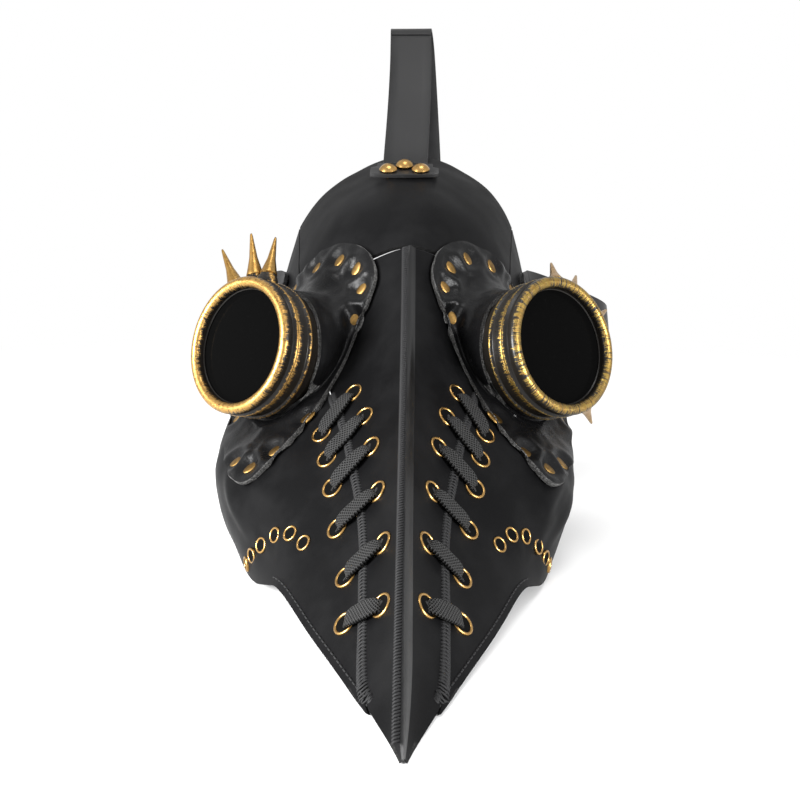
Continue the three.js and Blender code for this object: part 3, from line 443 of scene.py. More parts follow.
def vent_fan(tag):
    """Centre of the pinched fan below the vents, and the vent places."""
    vents = [sum(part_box(f"vent_eyelet_{tag}_{i + 1}"), Vector()) / 2 for i in range(6)]
    middle = sum(vents, Vector()) / 6
    goggle = GOGGLES[tag]
    foot = goggle.polar(-175, 40 * MM, -60 * MM)
    down = (middle - foot).normalized()
    return middle + down * 12 * MM, vents, -down


def sculpt_hide(obj, tag):
    """Wandering, pinched folds over the vents and a soft swell under the goggle."""
    points = coordinates(obj)
    out = outward(points)
    lift = sizes().undulation * wander(points, 34 * MM, 3.1)
    lift += 0.35 * sizes().undulation * wander(points, 13 * MM, 8.4)
    if tag:
        centre, vents, up = vent_fan(tag)
        side_way = up.cross(Vector((GOGGLES[tag].side * 0.8, -0.6, 0))).normalized()
        offset = points - np.array(centre)
        high = offset @ np.array(up)
        wide = offset @ np.array(side_way)
        reach = np.linalg.norm(offset, axis=1)
        angle = np.arctan2(wide, high)
        fan = np.cos(angle * 7.0) * fall(np.abs(reach - 26 * MM), 24 * MM) * fall(np.abs(angle), 1.5)
        lift += 1.1 * MM * fan
        for place, amount in ((-9, 2.0), (7, 1.7)):
            ridge = fall(np.abs(wide - place * MM - 0.12 * high), 6.5 * MM)
            ridge *= fall(np.abs(high - 42 * MM), 30 * MM)
            lift += amount * MM * ridge
        for vent in vents:
            lift -= 0.5 * MM * fall(np.linalg.norm(points - np.array(vent), axis=1), 6 * MM)
    rim = fall(points[:, 2] - 2 * MM, 14 * MM)
    set_coordinates(obj, draw_tip(points + out * (lift * (1 - rim))[:, None]))


def draw_tip(points):
    """Draws the front of the beak out and together into a point."""
    low = CAD_BOX[0][1]
    t = np.clip((low + TIP_REACH - points[:, 1]) / TIP_REACH, 0, 1)
    drawn = points.copy()
    middle = 0.7 * MM * t
    drawn[:, 0] = middle + points[:, 0] * (1 - 0.9 * t ** 2)
    drawn[:, 1] -= TIP_DRAW * t ** 1.5
    drawn[:, 2] *= 1 - 0.7 * t ** 2
    return drawn


def mark_walls(obj, index):
    """Gives the narrow faces along a sheet's cut edges their own material index."""
    bm = bmesh.new()
    bm.from_mesh(obj.data)
    for face in bm.faces:
        sharp = [e for e in face.edges if len(e.link_faces) == 2 and e.calc_face_angle(0) > math.radians(50)]
        lengths = sorted(e.calc_length() for e in face.edges)
        face.material_index = index if len(sharp) >= 2 and lengths[0] < 2.6 * MM else 0
    bm.to_mesh(obj.data)
    bm.free()


def refined_panel(node, name, levels):
    obj = copy_of(node, name)
    holes = round_holes(obj)
    close_holes(obj, holes)
    mark_walls(obj, 1)
    crease_sharp(obj, 42)
    subdivide(obj, levels)
    return obj, holes


# ---- Shader node helpers ----
def new_material(name):
    material = bpy.data.materials.new(name)
    material.use_nodes = True
    tree = material.node_tree
    return material, tree, tree.nodes["Principled BSDF"]


def add_node(tree, kind, **values):
    node = tree.nodes.new(kind)
    for key, value in values.items():
        if key.startswith("in_"):
            slot = key[3:]
            node.inputs[int(slot) if slot.isdigit() else slot.replace("_", " ")].default_value = value
        else:
            setattr(node, key, value)
    return node


def new_group(name, inputs, outputs):
    """A shader node group. inputs and outputs are lists of (name, socket kind, default)."""
    group = bpy.data.node_groups.new(name, "ShaderNodeTree")
    for in_out, sockets in (("INPUT", inputs), ("OUTPUT", outputs)):
        for label, kind, default in sockets:
            socket = group.interface.new_socket(label, in_out=in_out, socket_type=kind)
            if default is not None:
                socket.default_value = default
    source = group.nodes.new("NodeGroupInput")
    sink = group.nodes.new("NodeGroupOutput")
    return group, source, sink


def place_group(tree, name, **values):
    node = tree.nodes.new("ShaderNodeGroup")
    node.node_tree = bpy.data.node_groups[name]
    for key, value in values.items():
        node.inputs[key.replace("_", " ")].default_value = value
    return node


def maths(tree, operation, first, second=None, clamp=False):
    node = add_node(tree, "ShaderNodeMath", operation=operation, use_clamp=clamp)
    for index, value in enumerate((first, second)):
        if value is None:
            continue
        if isinstance(value, bpy.types.NodeSocket):
            tree.links.new(value, node.inputs[index])
        else:
            node.inputs[index].default_value = value
    return node.outputs[0]


def ranged(tree, value, low, high, to_low=0.0, to_high=1.0):
    node = add_node(tree, "ShaderNodeMapRange", in_From_Min=low, in_From_Max=high, in_To_Min=to_low,
                    in_To_Max=to_high)
    tree.links.new(value, node.inputs["Value"])
    return node.outputs["Result"]


def mixed(tree, mask, first, second):
    node = add_node(tree, "ShaderNodeMix", data_type="RGBA")
    tree.links.new(mask, node.inputs["Factor"])
    for index, value in ((6, first), (7, second)):
        if isinstance(value, bpy.types.NodeSocket):
            tree.links.new(value, node.inputs[index])
        else:
            node.inputs[index].default_value = value
    return node.outputs[2]


def noise_at(tree, vector, scale, detail=3.0, roughness=0.55):
    node = add_node(tree, "ShaderNodeTexNoise", in_Scale=scale, in_Detail=detail, in_Roughness=roughness)
    tree.links.new(vector, node.inputs["Vector"])
    return node.outputs["Fac"]


def bump_into(tree, shader, height, strength, distance):
    bump = add_node(tree, "ShaderNodeBump", in_Strength=strength, in_Distance=distance)
    tree.links.new(height, bump.inputs["Height"])
    tree.links.new(bump.outputs["Normal"], shader.inputs["Normal"])


def object_coordinates(tree):
    return tree.nodes.new("ShaderNodeTexCoord").outputs["Object"]


# ---- Shared effects ----
def build_grain():
    """Leather grain: pebbled cells broken up by fine creases."""
    group, source, sink = new_group(
        "Leather grain",
        [("Vector", "NodeSocketVector", None), ("Scale", "NodeSocketFloat", 900.0),
         ("Crease", "NodeSocketFloat", 0.4)],
        [("Height", "NodeSocketFloat", None), ("Tone", "NodeSocketFloat", None)])
    cells = add_node(group, "ShaderNodeTexVoronoi", feature="DISTANCE_TO_EDGE")
    group.links.new(source.outputs["Vector"], cells.inputs["Vector"])
    group.links.new(source.outputs["Scale"], cells.inputs["Scale"])
    pebble = ranged(group, cells.outputs["Distance"], 0.0, 0.35)
    fine = noise_at(group, source.outputs["Vector"], 2600.0, 2.0)
    crease = noise_at(group, source.outputs["Vector"], 160.0, 6.0, 0.68)
    folded = maths(group, "ABSOLUTE", maths(group, "SUBTRACT", crease, 0.5))
    line = ranged(group, folded, 0.0, 0.05)
    deep = maths(group, "MULTIPLY", line, source.outputs["Crease"])
    height = maths(group, "ADD", maths(group, "ADD", pebble, deep), maths(group, "MULTIPLY", fine, 0.35))
    group.links.new(height, sink.inputs["Height"])
    group.links.new(noise_at(group, source.outputs["Vector"], 38.0, 4.0, 0.6), sink.inputs["Tone"])


def build_brushed():
    """Dry-brush streaks that run along an axis, as a value from 0 to 1."""
    group, source, sink = new_group(
        "Brush streaks",
        [("Vector", "NodeSocketVector", None), ("Centre", "NodeSocketVector", (0, 0, 0)),
         ("Axis", "NodeSocketVector", (0, 0, 1)), ("Around", "NodeSocketFloat", 40.0),
         ("Along", "NodeSocketFloat", 120.0)],
        [("Streak", "NodeSocketFloat", None), ("Height", "NodeSocketFloat", None),
         ("Radius", "NodeSocketFloat", None)])

    def vector_maths(operation, *values):
        node = add_node(group, "ShaderNodeVectorMath", operation=operation)
        for index, value in enumerate(values):
            group.links.new(value, node.inputs[index])
        return node

    offset = vector_maths("SUBTRACT", source.outputs["Vector"], source.outputs["Centre"]).outputs["Vector"]
    height = vector_maths("DOT_PRODUCT", offset, source.outputs["Axis"]).outputs["Value"]
    along = add_node(group, "ShaderNodeVectorMath", operation="SCALE")
    group.links.new(source.outputs["Axis"], along.inputs[0])
    group.links.new(height, along.inputs["Scale"])
    flat = vector_maths("SUBTRACT", offset, along.outputs["Vector"]).outputs["Vector"]
    radius = vector_maths("LENGTH", flat).outputs["Value"]
    unit = vector_maths("NORMALIZE", flat).outputs["Vector"]
    around = add_node(group, "ShaderNodeVectorMath", operation="SCALE")
    group.links.new(unit, around.inputs[0])
    group.links.new(source.outputs["Around"], around.inputs["Scale"])
    lengthwise = add_node(group, "ShaderNodeVectorMath", operation="SCALE")
    group.links.new(along.outputs["Vector"], lengthwise.inputs[0])
    group.links.new(source.outputs["Along"], lengthwise.inputs["Scale"])
    place = vector_maths("ADD", around.outputs["Vector"], lengthwise.outputs["Vector"]).outputs["Vector"]
    group.links.new(noise_at(group, place, 1.0, 4.0, 0.7), sink.inputs["Streak"])
    group.links.new(height, sink.inputs["Height"])
    group.links.new(radius, sink.inputs["Radius"])


def build_weave():
    """Flat plaited weave from a lace's own UV map: u along it, v across it."""
    group, source, sink = new_group(
        "Lace weave",
        [("Vector", "NodeSocketVector", None), ("Along", "NodeSocketFloat", 17.0),
         ("Across", "NodeSocketFloat", 4.0)],
        [("Height", "NodeSocketFloat", None), ("Tone", "NodeSocketFloat", None)])
    split = group.nodes.new("ShaderNodeSeparateXYZ")
    group.links.new(source.outputs["Vector"], split.inputs[0])
    u = maths(group, "MULTIPLY", split.outputs["X"], source.outputs["Along"])
    v = maths(group, "MULTIPLY", split.outputs["Y"], source.outputs["Across"])
    lean = maths(group, "SINE", maths(group, "MULTIPLY", maths(group, "ADD", u, v), math.tau))
    cross = maths(group, "SINE", maths(group, "MULTIPLY", maths(group, "SUBTRACT", u, v), math.tau))
    height = maths(group, "MAXIMUM", lean, cross)
    group.links.new(height, sink.inputs["Height"])
    # Tone follows the weave's height: raised yarns get a lighter colour, a painted highlight.
    group.links.new(ranged(group, height, -0.4, 1.0), sink.inputs["Tone"])


# ---- Materials ----
def leather(name, rough, grain=900.0, strength=0.25, crease=0.4, worn=0.6, coat=0.0, shine=0.08):
    """Coated hide: dark, with a soft sheen, rubbed lighter in patches."""
    material, tree, shader = new_material(name)
    effect = place_group(tree, "Leather grain", Scale=grain, Crease=crease)
    tree.links.new(object_coordinates(tree), effect.inputs["Vector"])
    patch = ranged(tree, effect.outputs["Tone"], 0.42, 0.72, 0.0, worn)
    tree.links.new(mixed(tree, patch, colours().hide, colours().hide_worn), shader.inputs["Base Color"])
    tree.links.new(ranged(tree, effect.outputs["Tone"], 0.3, 0.7, rough - 0.05, rough + 0.08),
                   shader.inputs["Roughness"])
    shader.inputs["Specular IOR Level"].default_value = shine
    shader.inputs["Coat Weight"].default_value = coat
    shader.inputs["Coat Roughness"].default_value = 0.22
    bump_into(tree, shader, effect.outputs["Height"], strength, 0.12 * MM)
    return material


def raw_edge(name, pale=1.0):
    """Fibrous cut edge of a hide."""
    material, tree, shader = new_material(name)
    vector = object_coordinates(tree)
    fibre = noise_at(tree, vector, 1500.0, 4.0, 0.7)
    tone = ranged(tree, fibre, 0.38, 0.66)
    fibres = tuple(c * pale for c in colours().cut_edge[:3]) + (1.0,)
    tree.links.new(mixed(tree, tone, colours().hide, fibres), shader.inputs["Base Color"])
    shader.inputs["Specular IOR Level"].default_value = 0.1
    tree.links.new(ranged(tree, fibre, 0.3, 0.7, 0.9, 0.6), shader.inputs["Roughness"])
    bump_into(tree, shader, fibre, 0.8, 0.5 * MM)
    return material


def dry_brushed(name, goggle, ring_heights, cover, shade_tint=1.0):
    """Black paint dry-brushed with gold: heaviest on the raised rings, in streaks elsewhere."""
    material, tree, shader = new_material(name)
    effect = place_group(tree, "Brush streaks", Centre=goggle.centre, Axis=goggle.axis, Around=46.0,
                         Along=130.0)
    vector = object_coordinates(tree)
    tree.links.new(vector, effect.inputs["Vector"])
    near = None
    for height, reach in ring_heights:
        away = maths(tree, "ABSOLUTE", maths(tree, "SUBTRACT", effect.outputs["Height"], height))
        close = ranged(tree, away, 0.0, reach, 1.0, 0.0)
        near = close if near is None else maths(tree, "MAXIMUM", near, close)
    fleck = noise_at(tree, vector, 700.0, 5.0, 0.75)
    amount = maths(tree, "ADD", maths(tree, "MULTIPLY", effect.outputs["Streak"], 0.85),
                   maths(tree, "MULTIPLY", fleck, 0.35))
    biased = maths(tree, "ADD", amount, maths(tree, "MULTIPLY", near, 0.42))
    mask = ranged(tree, biased, 0.98 - cover, 1.06 - cover)
    # Below 1, this tint paints the gold darker and greener, as painted shade.
    gold = tuple(c * t for c, t in zip(colours().gold, (shade_tint, 0.35 + 0.65 * shade_tint, shade_tint, 1.0)))
    paint = mixed(tree, ranged(tree, fleck, 0.35, 0.62), colours().gold_dull, gold)
    tree.links.new(mixed(tree, mask, colours().black_paint, paint), shader.inputs["Base Color"])
    tree.links.new(maths(tree, "MULTIPLY", mask, 0.92), shader.inputs["Metallic"])
    tree.links.new(ranged(tree, fleck, 0.3, 0.7, 0.24, 0.42), shader.inputs["Roughness"])
    shader.inputs["Specular IOR Level"].default_value = 0.2
    bump_into(tree, shader, maths(tree, "ADD", mask, fleck), 0.35, 0.15 * MM)
    return material


def metal(name, bright, dark, rough, tarnish, scale=350.0):
    """Cast or pressed brass, tarnished in patches."""
    material, tree, shader = new_material(name)
    vector = object_coordinates(tree)
    patch = noise_at(tree, vector, scale, 5.0, 0.65)
    fine = noise_at(tree, vector, 1800.0, 3.0)
    mask = ranged(tree, patch, 0.5 - tarnish * 0.3, 0.72 - tarnish * 0.2)
    tree.links.new(mixed(tree, mask, bright, dark), shader.inputs["Base Color"])
    shader.inputs["Metallic"].default_value = 1.0
    tree.links.new(ranged(tree, patch, 0.3, 0.7, rough, rough + 0.16), shader.inputs["Roughness"])
    bump_into(tree, shader, fine, 0.18, 0.1 * MM)
    return material


def smoked_lens(name):
    material, tree, shader = new_material(name)
    dust = noise_at(tree, object_coordinates(tree), 420.0, 6.0, 0.7)
    speck = ranged(tree, dust, 0.62, 0.85)
    tree.links.new(mixed(tree, speck, (0.0015, 0.0015, 0.0015, 1), (0.006, 0.006, 0.006, 1)),
                   shader.inputs["Base Color"])
    tree.links.new(ranged(tree, dust, 0.4, 0.8, 0.04, 0.12), shader.inputs["Roughness"])
    shader.inputs["Specular IOR Level"].default_value = 0.004
    return material


def rubber(name):
    material, tree, shader = new_material(name)
    dust = noise_at(tree, object_coordinates(tree), 900.0, 4.0)
    tree.links.new(mixed(tree, dust, (0.0012, 0.0012, 0.0012, 1), (0.0035, 0.0035, 0.0035, 1)),
                   shader.inputs["Base Color"])
    tree.links.new(ranged(tree, dust, 0.3, 0.7, 0.6, 0.8), shader.inputs["Roughness"])
    shader.inputs["Specular IOR Level"].default_value = 0.02
    bump_into(tree, shader, dust, 0.2, 0.1 * MM)
    return material


def woven(name):
    """Flat polyester lace, a little shiny on its raised yarns, painted lighter there as painted highlight."""
    material, tree, shader = new_material(name)
    uv = tree.nodes.new("ShaderNodeUVMap")
    uv.uv_map = "UVMap"
    effect = place_group(tree, "Lace weave")
    tree.links.new(uv.outputs["UV"], effect.inputs["Vector"])
    # The lighter colour of the raised yarns is a painted highlight.
    light = tuple(min(1.0, c * 7.0) for c in colours().lace[:3]) + (1.0,)
    tree.links.new(mixed(tree, effect.outputs["Tone"], colours().lace, light), shader.inputs["Base Color"])
    tree.links.new(ranged(tree, effect.outputs["Tone"], 0.0, 1.0, 0.75, 0.48), shader.inputs["Roughness"])
    shader.inputs["Specular IOR Level"].default_value = 0.12
    bump_into(tree, shader, effect.outputs["Height"], 0.9, 0.5 * MM)
    return material


def thread(name):
    material, tree, shader = new_material(name)
    ply = noise_at(tree, object_coordinates(tree), 3200.0, 3.0, 0.6)
    light = tuple(min(1.0, c * 2.2) for c in colours().thread[:3]) + (1.0,)
    strand = ranged(tree, ply, 0.35, 0.65)
    tree.links.new(mixed(tree, strand, colours().thread, light), shader.inputs["Base Color"])
    tree.links.new(ranged(tree, ply, 0.3, 0.7, 0.5, 0.66), shader.inputs["Roughness"])
    shader.inputs["Specular IOR Level"].default_value = 0.15
    bump_into(tree, shader, ply, 0.4, 0.1 * MM)
    return material


def look(name):
    """A finish by name, made on first use."""
    if name in bpy.data.materials:
        return bpy.data.materials[name]
    c = colours()
    deep_brass = tuple(v * 0.45 for v in c.aged_brass[:3]) + (1,)
    makers = {
        "face hide": lambda n: leather(n, 0.44, 1000.0, 0.16, 0.25, 0.7, 0.0, 0.04),
        "flange hide": lambda n: leather(n, 0.30, 720.0, 0.4, 0.6, 0.5, 0.03, 0.12),
        "strap hide": lambda n: leather(n, 0.42, 1300.0, 0.12, 0.15, 0.5, 0.0, 0.26),
        "welt hide": lambda n: leather(n, 0.34, 1300.0, 0.12, 0.15, 0.5, 0.0, 0.25),
        "flesh side": lambda n: leather(n, 0.8, 1500.0, 0.3, 0.1, 0.8, 0.0, 0.05),
        "raw edge": raw_edge,
        "face edge": lambda n: raw_edge(n, 0.12),
        "woven lace": woven,
        "sewing thread": thread,
        "aged brass": lambda n: metal(n, c.aged_brass, deep_brass, 0.34, 0.5),
        "bright brass": lambda n: metal(n, c.bright_brass, c.aged_brass, 0.2, 0.25),
        "spike gold": lambda n: metal(n, c.gold, c.gold_dull, 0.24, 0.35, 500.0),
        "smoked lens": smoked_lens,
        # Also the finish of the dark hole plugs, which are painted shade.
        "gasket rubber": rubber,
    }
    return makers[name](name)


def goggle_finish(goggle, part):
    """Bezel, barrel or spike paint, which follows that goggle's own axis."""
    name = f"{part} paint {goggle.tag}"
    if name in bpy.data.materials:
        return bpy.data.materials[name]
    rings = {"bezel": [(0.8 * MM, 5.2 * MM), (-7.8 * MM, 1.5 * MM)],
             "barrel": [(-10.0 * MM, 4.5 * MM), (-17.0 * MM, 2.4 * MM)]}[part]
    cover = {"bezel": 0.14 if goggle.side < 0 else 0.08, "barrel": 0.06}[part]
    # The wearer's left goggle gets its gold painted darker and greener than the right one's, as painted shade.
    shade_tint = 1.0 if goggle.side < 0 else 0.66
    return dry_brushed(name, goggle, rings, cover, shade_tint)


# ---- Pieces ----
class MaskOperator:
    bl_options = {"REGISTER", "UNDO"}

    def execute(self, context):
        self.build()
        return {"FINISHED"}


def is_flesh_side(face):
    """True for faces that look into the mask."""
    middle = face.center
    inside = Vector((0, middle.y + HEAD_BACK, min(middle.z * HEAD_SHARE, HEAD_TOP)))
    return face.normal.dot(middle - inside) < 0


class MASK_OT_hide(MaskOperator, bpy.types.Operator):
    """Beak, cheek and forehead panels, subdivided and sculpted from the frame's panels"""
    bl_idname = "mask.hide"
    bl_label = "Face leather"

    def build(self):
        panels = [(f"{part}_panel_{tag}", f"{part}_hide_{tag}", tag)
                  for part in ("cheek", "beak") for tag in SIDES]
        panels.append(("forehead_panel", "forehead_hide", None))
        for node, name, tag in panels:
            obj, holes = refined_panel(node, name, 3)
            obj["holes"] = json.dumps([[*hole["centre"], *hole["axis"], hole["radius"]] for hole in holes])
            sculpt_hide(obj, tag if node.startswith("cheek") else None)
            smooth(obj, 50)
            for finish in ("face hide", "face edge", "flesh side"):
                obj.data.materials.append(look(finish))
            for polygon in obj.data.polygons:
                if polygon.material_index == 0 and is_flesh_side(polygon):
                    polygon.material_index = 2
            finish_piece(obj, None, "hood", [node])


def hide_surface():
    parts = ("cheek_hide", "beak_hide", "forehead_hide")
    return surface_of(*(o for o in bpy.data.objects if o.name.startswith(parts)))


def onto(surface, point, away):
    """The outer surface at a point, met from outside: place and normal."""
    hit, normal, _, _ = surface.ray_cast(point + away * 25 * MM, -away)
    if hit is None:
        hit, normal, _, _ = surface.find_nearest(point)
    return hit, normal if normal.dot(away) > 0 else -normal


def laced_holes(tag):
    """Inner and outer laced holes, paired from the brow to the beak, each with its outward axis."""
    found = {}
    for part in ("beak", "cheek"):
        rows = json.loads(bpy.data.objects[f"{part}_hide_{tag}"]["holes"])
        holes = [(Vector(r[:3]), Vector(r[3:6])) for r in rows if r[6] > SMALLEST_LACED]
        found[part] = sorted(holes, key=lambda hole: -hole[0].y)
    pairs = []
    for inner, outer in zip(found["beak"], found["cheek"]):
        away = []
        for place, axis in (inner, outer):
            facing = Vector((SIDES[tag] * 0.5, -0.6, 0.6))
            away.append((place, axis if axis.dot(facing) > 0 else -axis))
        pairs.append(away)
    return pairs


def eyelet_pattern(outer, bore, name):
    """Rolled brass ring with a short tube through the hide, on local Z."""
    roll = (outer - bore) / 2
    ring = arc((bore + roll, 0.1 * MM), roll, 0, 180, 9)
    wall = bore + 0.35 * MM
    tube = [(bore, -2.8 * MM), (wall, -2.8 * MM), (wall, -0.5 * MM), (outer, -0.5 * MM)]
    return spun(name, ring + tube, Vector(), Vector((0, 0, 1)), 28)


def bore_pattern(radius):
    """A dark disc in the mouth of a hole, just inside an eyelet's ring: painted shade standing in for the hole's
    depth.
    """
    plug = [(0, 0.3 * MM), (radius, 0.3 * MM), (radius, -0.6 * MM), (0, -0.6 * MM)]
    return spun("bore_pattern", plug, Vector(), Vector((0, 0, 1)), 20)


def ribbon(name, path, across, widths, thickness, segments):
    """A flat band along a smooth path, with its UV along and across it. path and across are lists of vectors."""
    pick_nothing()
    bpy.ops.mesh.primitive_grid_add(x_subdivisions=segments, y_subdivisions=6, size=1)
    obj = bpy.context.object
    obj.name = name
    for vertex in obj.data.vertices:
        along, side = vertex.co.x + 0.5, vertex.co.y
        k = min(int(along * (len(path) - 1)), len(path) - 2)
        t = along * (len(path) - 1) - k
        before, after = path[max(k - 1, 0)], path[min(k + 2, len(path) - 1)]
        a, b = path[k], path[k + 1]
        place = 0.5 * (2 * a + (b - before) * t + (2 * before - 5 * a + 4 * b - after) * t * t
                       + (3 * a - before - 3 * b + after) * t ** 3)
        direction = across[k].lerp(across[k + 1], t).normalized()
        width = widths[k] + (widths[k + 1] - widths[k]) * t
        tangent = (b - a).normalized()
        crown = direction.cross(tangent) * (0.25 - side * side) * width * -0.1
        vertex.co = place + direction * side * width + crown
    modify(obj, "SOLIDIFY", thickness=thickness, offset=0.0)
    bevel_sharp(obj, thickness * 0.3, 50)
    smooth(obj, 60)
    return obj


class MASK_OT_lacing(MaskOperator, bpy.types.Operator):
    """Rolled eyelets and the flat laces that run through them"""
    bl_idname = "mask.lacing"
    bl_label = "Lacing"

    # At each station of a run: its share of the way, the lace's height in mm over and under the hide, and its
    # share of the full width.
    stations = [0.02, 0.05, 0.14, 0.26, 0.38, 0.5, 0.62, 0.74, 0.86, 0.95, 0.98]
    over = [-2.4, 0.6, 1.75, 2.2, 2.35, 2.4, 2.35, 2.2, 1.75, 0.6, -2.4]
    under = [0.4, -1.8, -3.9, -4.4, -4.8, -4.9, -4.8, -4.4, -3.9, -1.8, 0.4]
    pinch = [0.55, 0.68, 0.86, 0.98, 1.0, 1.0, 1.0, 0.98, 0.86, 0.68, 0.55]

    def build(self):
        s = sizes()
        surface = hide_surface()
        pattern = eyelet_pattern(s.eyelet_radius, 3.85 * MM, "eyelet_pattern")
        # Dark plugs in the laced holes: painted shade for the holes' depth.
        dark = bore_pattern(4.1 * MM)
        for tag in SIDES:
            pairs = laced_holes(tag)
            seats = [[(onto(surface, place, away)[0], away) for place, away in pair] for pair in pairs]
            places = [frame_matrix(place, away) for pair in seats for place, away in pair]
            finish_strewn(f"lace_eyelets_{tag}", pattern, places, "bright brass")
            finish_strewn(f"lace_bores_{tag}", dark, places, "gasket rubber")
            self.lace(tag, seats, surface)
        discard(pattern)
        discard(dark)

    def lace(self, tag, seats, surface):
        runs = []
        for i, (inner, outer) in enumerate(seats):
            runs.append(self.run(f"rung_{i}", inner, outer, 1, 1.0, surface))
            if i + 1 < len(seats):
                runs.append(self.run(f"return_{i}", outer, seats[i + 1][0], -1, 0.8, surface))
        pick(*runs)
        bpy.ops.object.join()
        lace = bpy.context.object
        lace.name = f"laced_lace_{tag}"
        finish_piece(lace, look("woven lace"), "hood", [f"lace_{tag}"])

    def run(self, name, start, end, face, share, surface):
        """One run of lace over the hide (face 1) or under it (face -1), with its ends through two eyelets."""
        s = sizes()
        (a, up_a), (b, up_b) = start, end
        chord = (b - a).normalized()
        heights = []
        for along in self.stations:
            up = up_a.lerp(up_b, along).normalized()
            place = a.lerp(b, along)
            hit, _ = onto(surface, place, up)
            high = (hit - place).dot(up)
            heights.append(high if 0.1 < along < 0.9 and abs(high) < 5 * MM else 0.0)
        for _ in range(3):
            heights[1:-1] = [(x + 2 * y + z) / 4 for x, y, z in zip(heights, heights[1:], heights[2:])]
        rises = self.over if face > 0 else self.under
        path, across, widths = [], [], []
        for along, height, rise, pinch in zip(self.stations, heights, rises, self.pinch):
            up = up_a.lerp(up_b, along).normalized()
            path.append(a.lerp(b, along) + up * (height + rise * MM))
            across.append(chord.cross(up).normalized())
            widths.append(s.lace_width * share * pinch)
        return ribbon(name, path, across, widths, s.lace_thickness, 44)


class MASK_OT_vents(MaskOperator, bpy.types.Operator):
    """Small rolled eyelets in an arc low on each cheek"""
    bl_idname = "mask.vents"
    bl_label = "Vent eyelets"

    def build(self):
        surface = hide_surface()
        pattern = eyelet_pattern(sizes().vent_radius, 2.6 * MM, "vent_pattern")
        # Dark plugs in the vent holes: painted shade for the dark inside of the mask.
        dark = bore_pattern(2.9 * MM)
        for tag, side in SIDES.items():
            rows = json.loads(bpy.data.objects[f"cheek_hide_{tag}"]["holes"])
            places = []
            for row in rows:
                if not SMALLEST_VENT < row[6] < SMALLEST_LACED:
                    continue
                centre, axis = Vector(row[:3]), Vector(row[3:6])
                axis = axis if axis.x * side > 0 else -axis
                seat, _ = onto(surface, centre, axis)
                places.append(frame_matrix(seat + axis * 0.25 * MM, axis))
            nodes = [f"vent_eyelet_{tag}_{i + 1}" for i in range(6)]
            finish_strewn(f"vent_rings_{tag}", pattern, places, "bright brass", nodes)
            finish_strewn(f"vent_bores_{tag}", dark, places, "gasket rubber")
        discard(pattern)
        discard(dark)


class MASK_OT_flanges(MaskOperator, bpy.types.Operator):
    """Glossy moulded leather round each goggle, with its flat rivets"""
    bl_idname = "mask.flanges"
    bl_label = "Goggle flanges"

    # Degrees from up towards outward, and distance from the goggle's axis.
    rivets = [(12, 52), (-7, 55), (-23, 54), (-36, 49), (-52, 35), (-97, 31), (-129, 45), (-148, 54),
              (-160, 59), (-173, 55), (36, 47), (68, 41), (104, 37), (148, 40)]

    def build(self):
        for tag in SIDES:
            self.flange(tag)

    def flange(self, tag):
        s, goggle = sizes(), GOGGLES[tag]
        obj = copy_of(f"eye_flange_{tag}", f"goggle_flange_{tag}")
        mark_walls(obj, 1)
        crease_sharp(obj, 55)
        subdivide(obj, 3)
        surface = surface_of(obj)
        seats = []
        for degrees, radius in self.rivets:
            start = goggle.polar(degrees, max(radius, 38) * MM, 20 * MM)
            hit, normal, _, _ = surface.ray_cast(start, -goggle.axis)
            if hit is not None:
                seats.append((hit, normal if normal.dot(goggle.axis) > 0 else -normal))
        self.sculpt(obj, goggle, seats)
        smooth(obj, 50)
        obj.data.materials.append(look("flange hide"))
        obj.data.materials.append(look("raw edge"))
        finish_piece(obj, None, "hood", [f"eye_flange_{tag}"])
        surface = surface_of(obj)
        places = []
        for seat, normal in seats:
            place, up = onto(surface, seat, normal)
            lean = Vector((-goggle.side * 0.5, 0, 0.87))
            places.append(frame_matrix(place - up * 0.2 * MM, up, lean) @ Matrix.Diagonal((0.6, 1.12, 1, 1)))
        r = s.flange_rivet_radius
        dome = [(0, 0.95 * MM), (r * 0.55, 0.9 * MM), (r * 0.85, 0.68 * MM), (r, 0.2 * MM),
                (r * 0.94, -0.4 * MM), (0, -0.4 * MM)]
        pattern = spun("flange_rivet_pattern", dome, Vector(), Vector((0, 0, 1)), 28)
        finish_strewn(f"flange_rivets_{tag}", pattern, places, "aged brass")
        discard(pattern)

    def sculpt(self, obj, goggle, seats):
        """Dimples round each rivet, pulls from the neck, and a wandering surface."""
        points, out = coordinates(obj), normals(obj)
        offset = points - np.array(goggle.centre)
        height = offset @ np.array(goggle.axis)
        flat = offset - height[:, None] * np.array(goggle.axis)
        radius = np.linalg.norm(flat, axis=1)
        angle = np.arctan2(flat @ np.array(goggle.out), flat @ np.array(goggle.up))
        away = flat / radius[:, None] + np.array(goggle.axis) * 0.8
        facing = np.where((out * away).sum(1) > 0, 1.0, -1.0)
        lift = 0.8 * MM * wander(points, 17 * MM, 5.5) + 0.35 * MM * wander(points, 6 * MM, 2.2)
        pulls = np.cos(angle * 9 + 2 * wander(points, 30 * MM, 7.7))
        lift += 0.8 * MM * pulls * fall(np.abs(radius - 44 * MM), 12 * MM)
        for place, _ in seats:
            distance = np.linalg.norm(points - np.array(place), axis=1)
            lift -= 1.7 * MM * fall(distance, 7.5 * MM)
            lift += 0.6 * MM * fall(np.abs(distance - 8 * MM), 4 * MM)
        keep = fall(np.abs(radius - 33 * MM), 3 * MM) * fall(np.abs(height + 24 * MM), 5 * MM)
        set_coordinates(obj, points + out * (lift * facing * (1 - keep))[:, None])


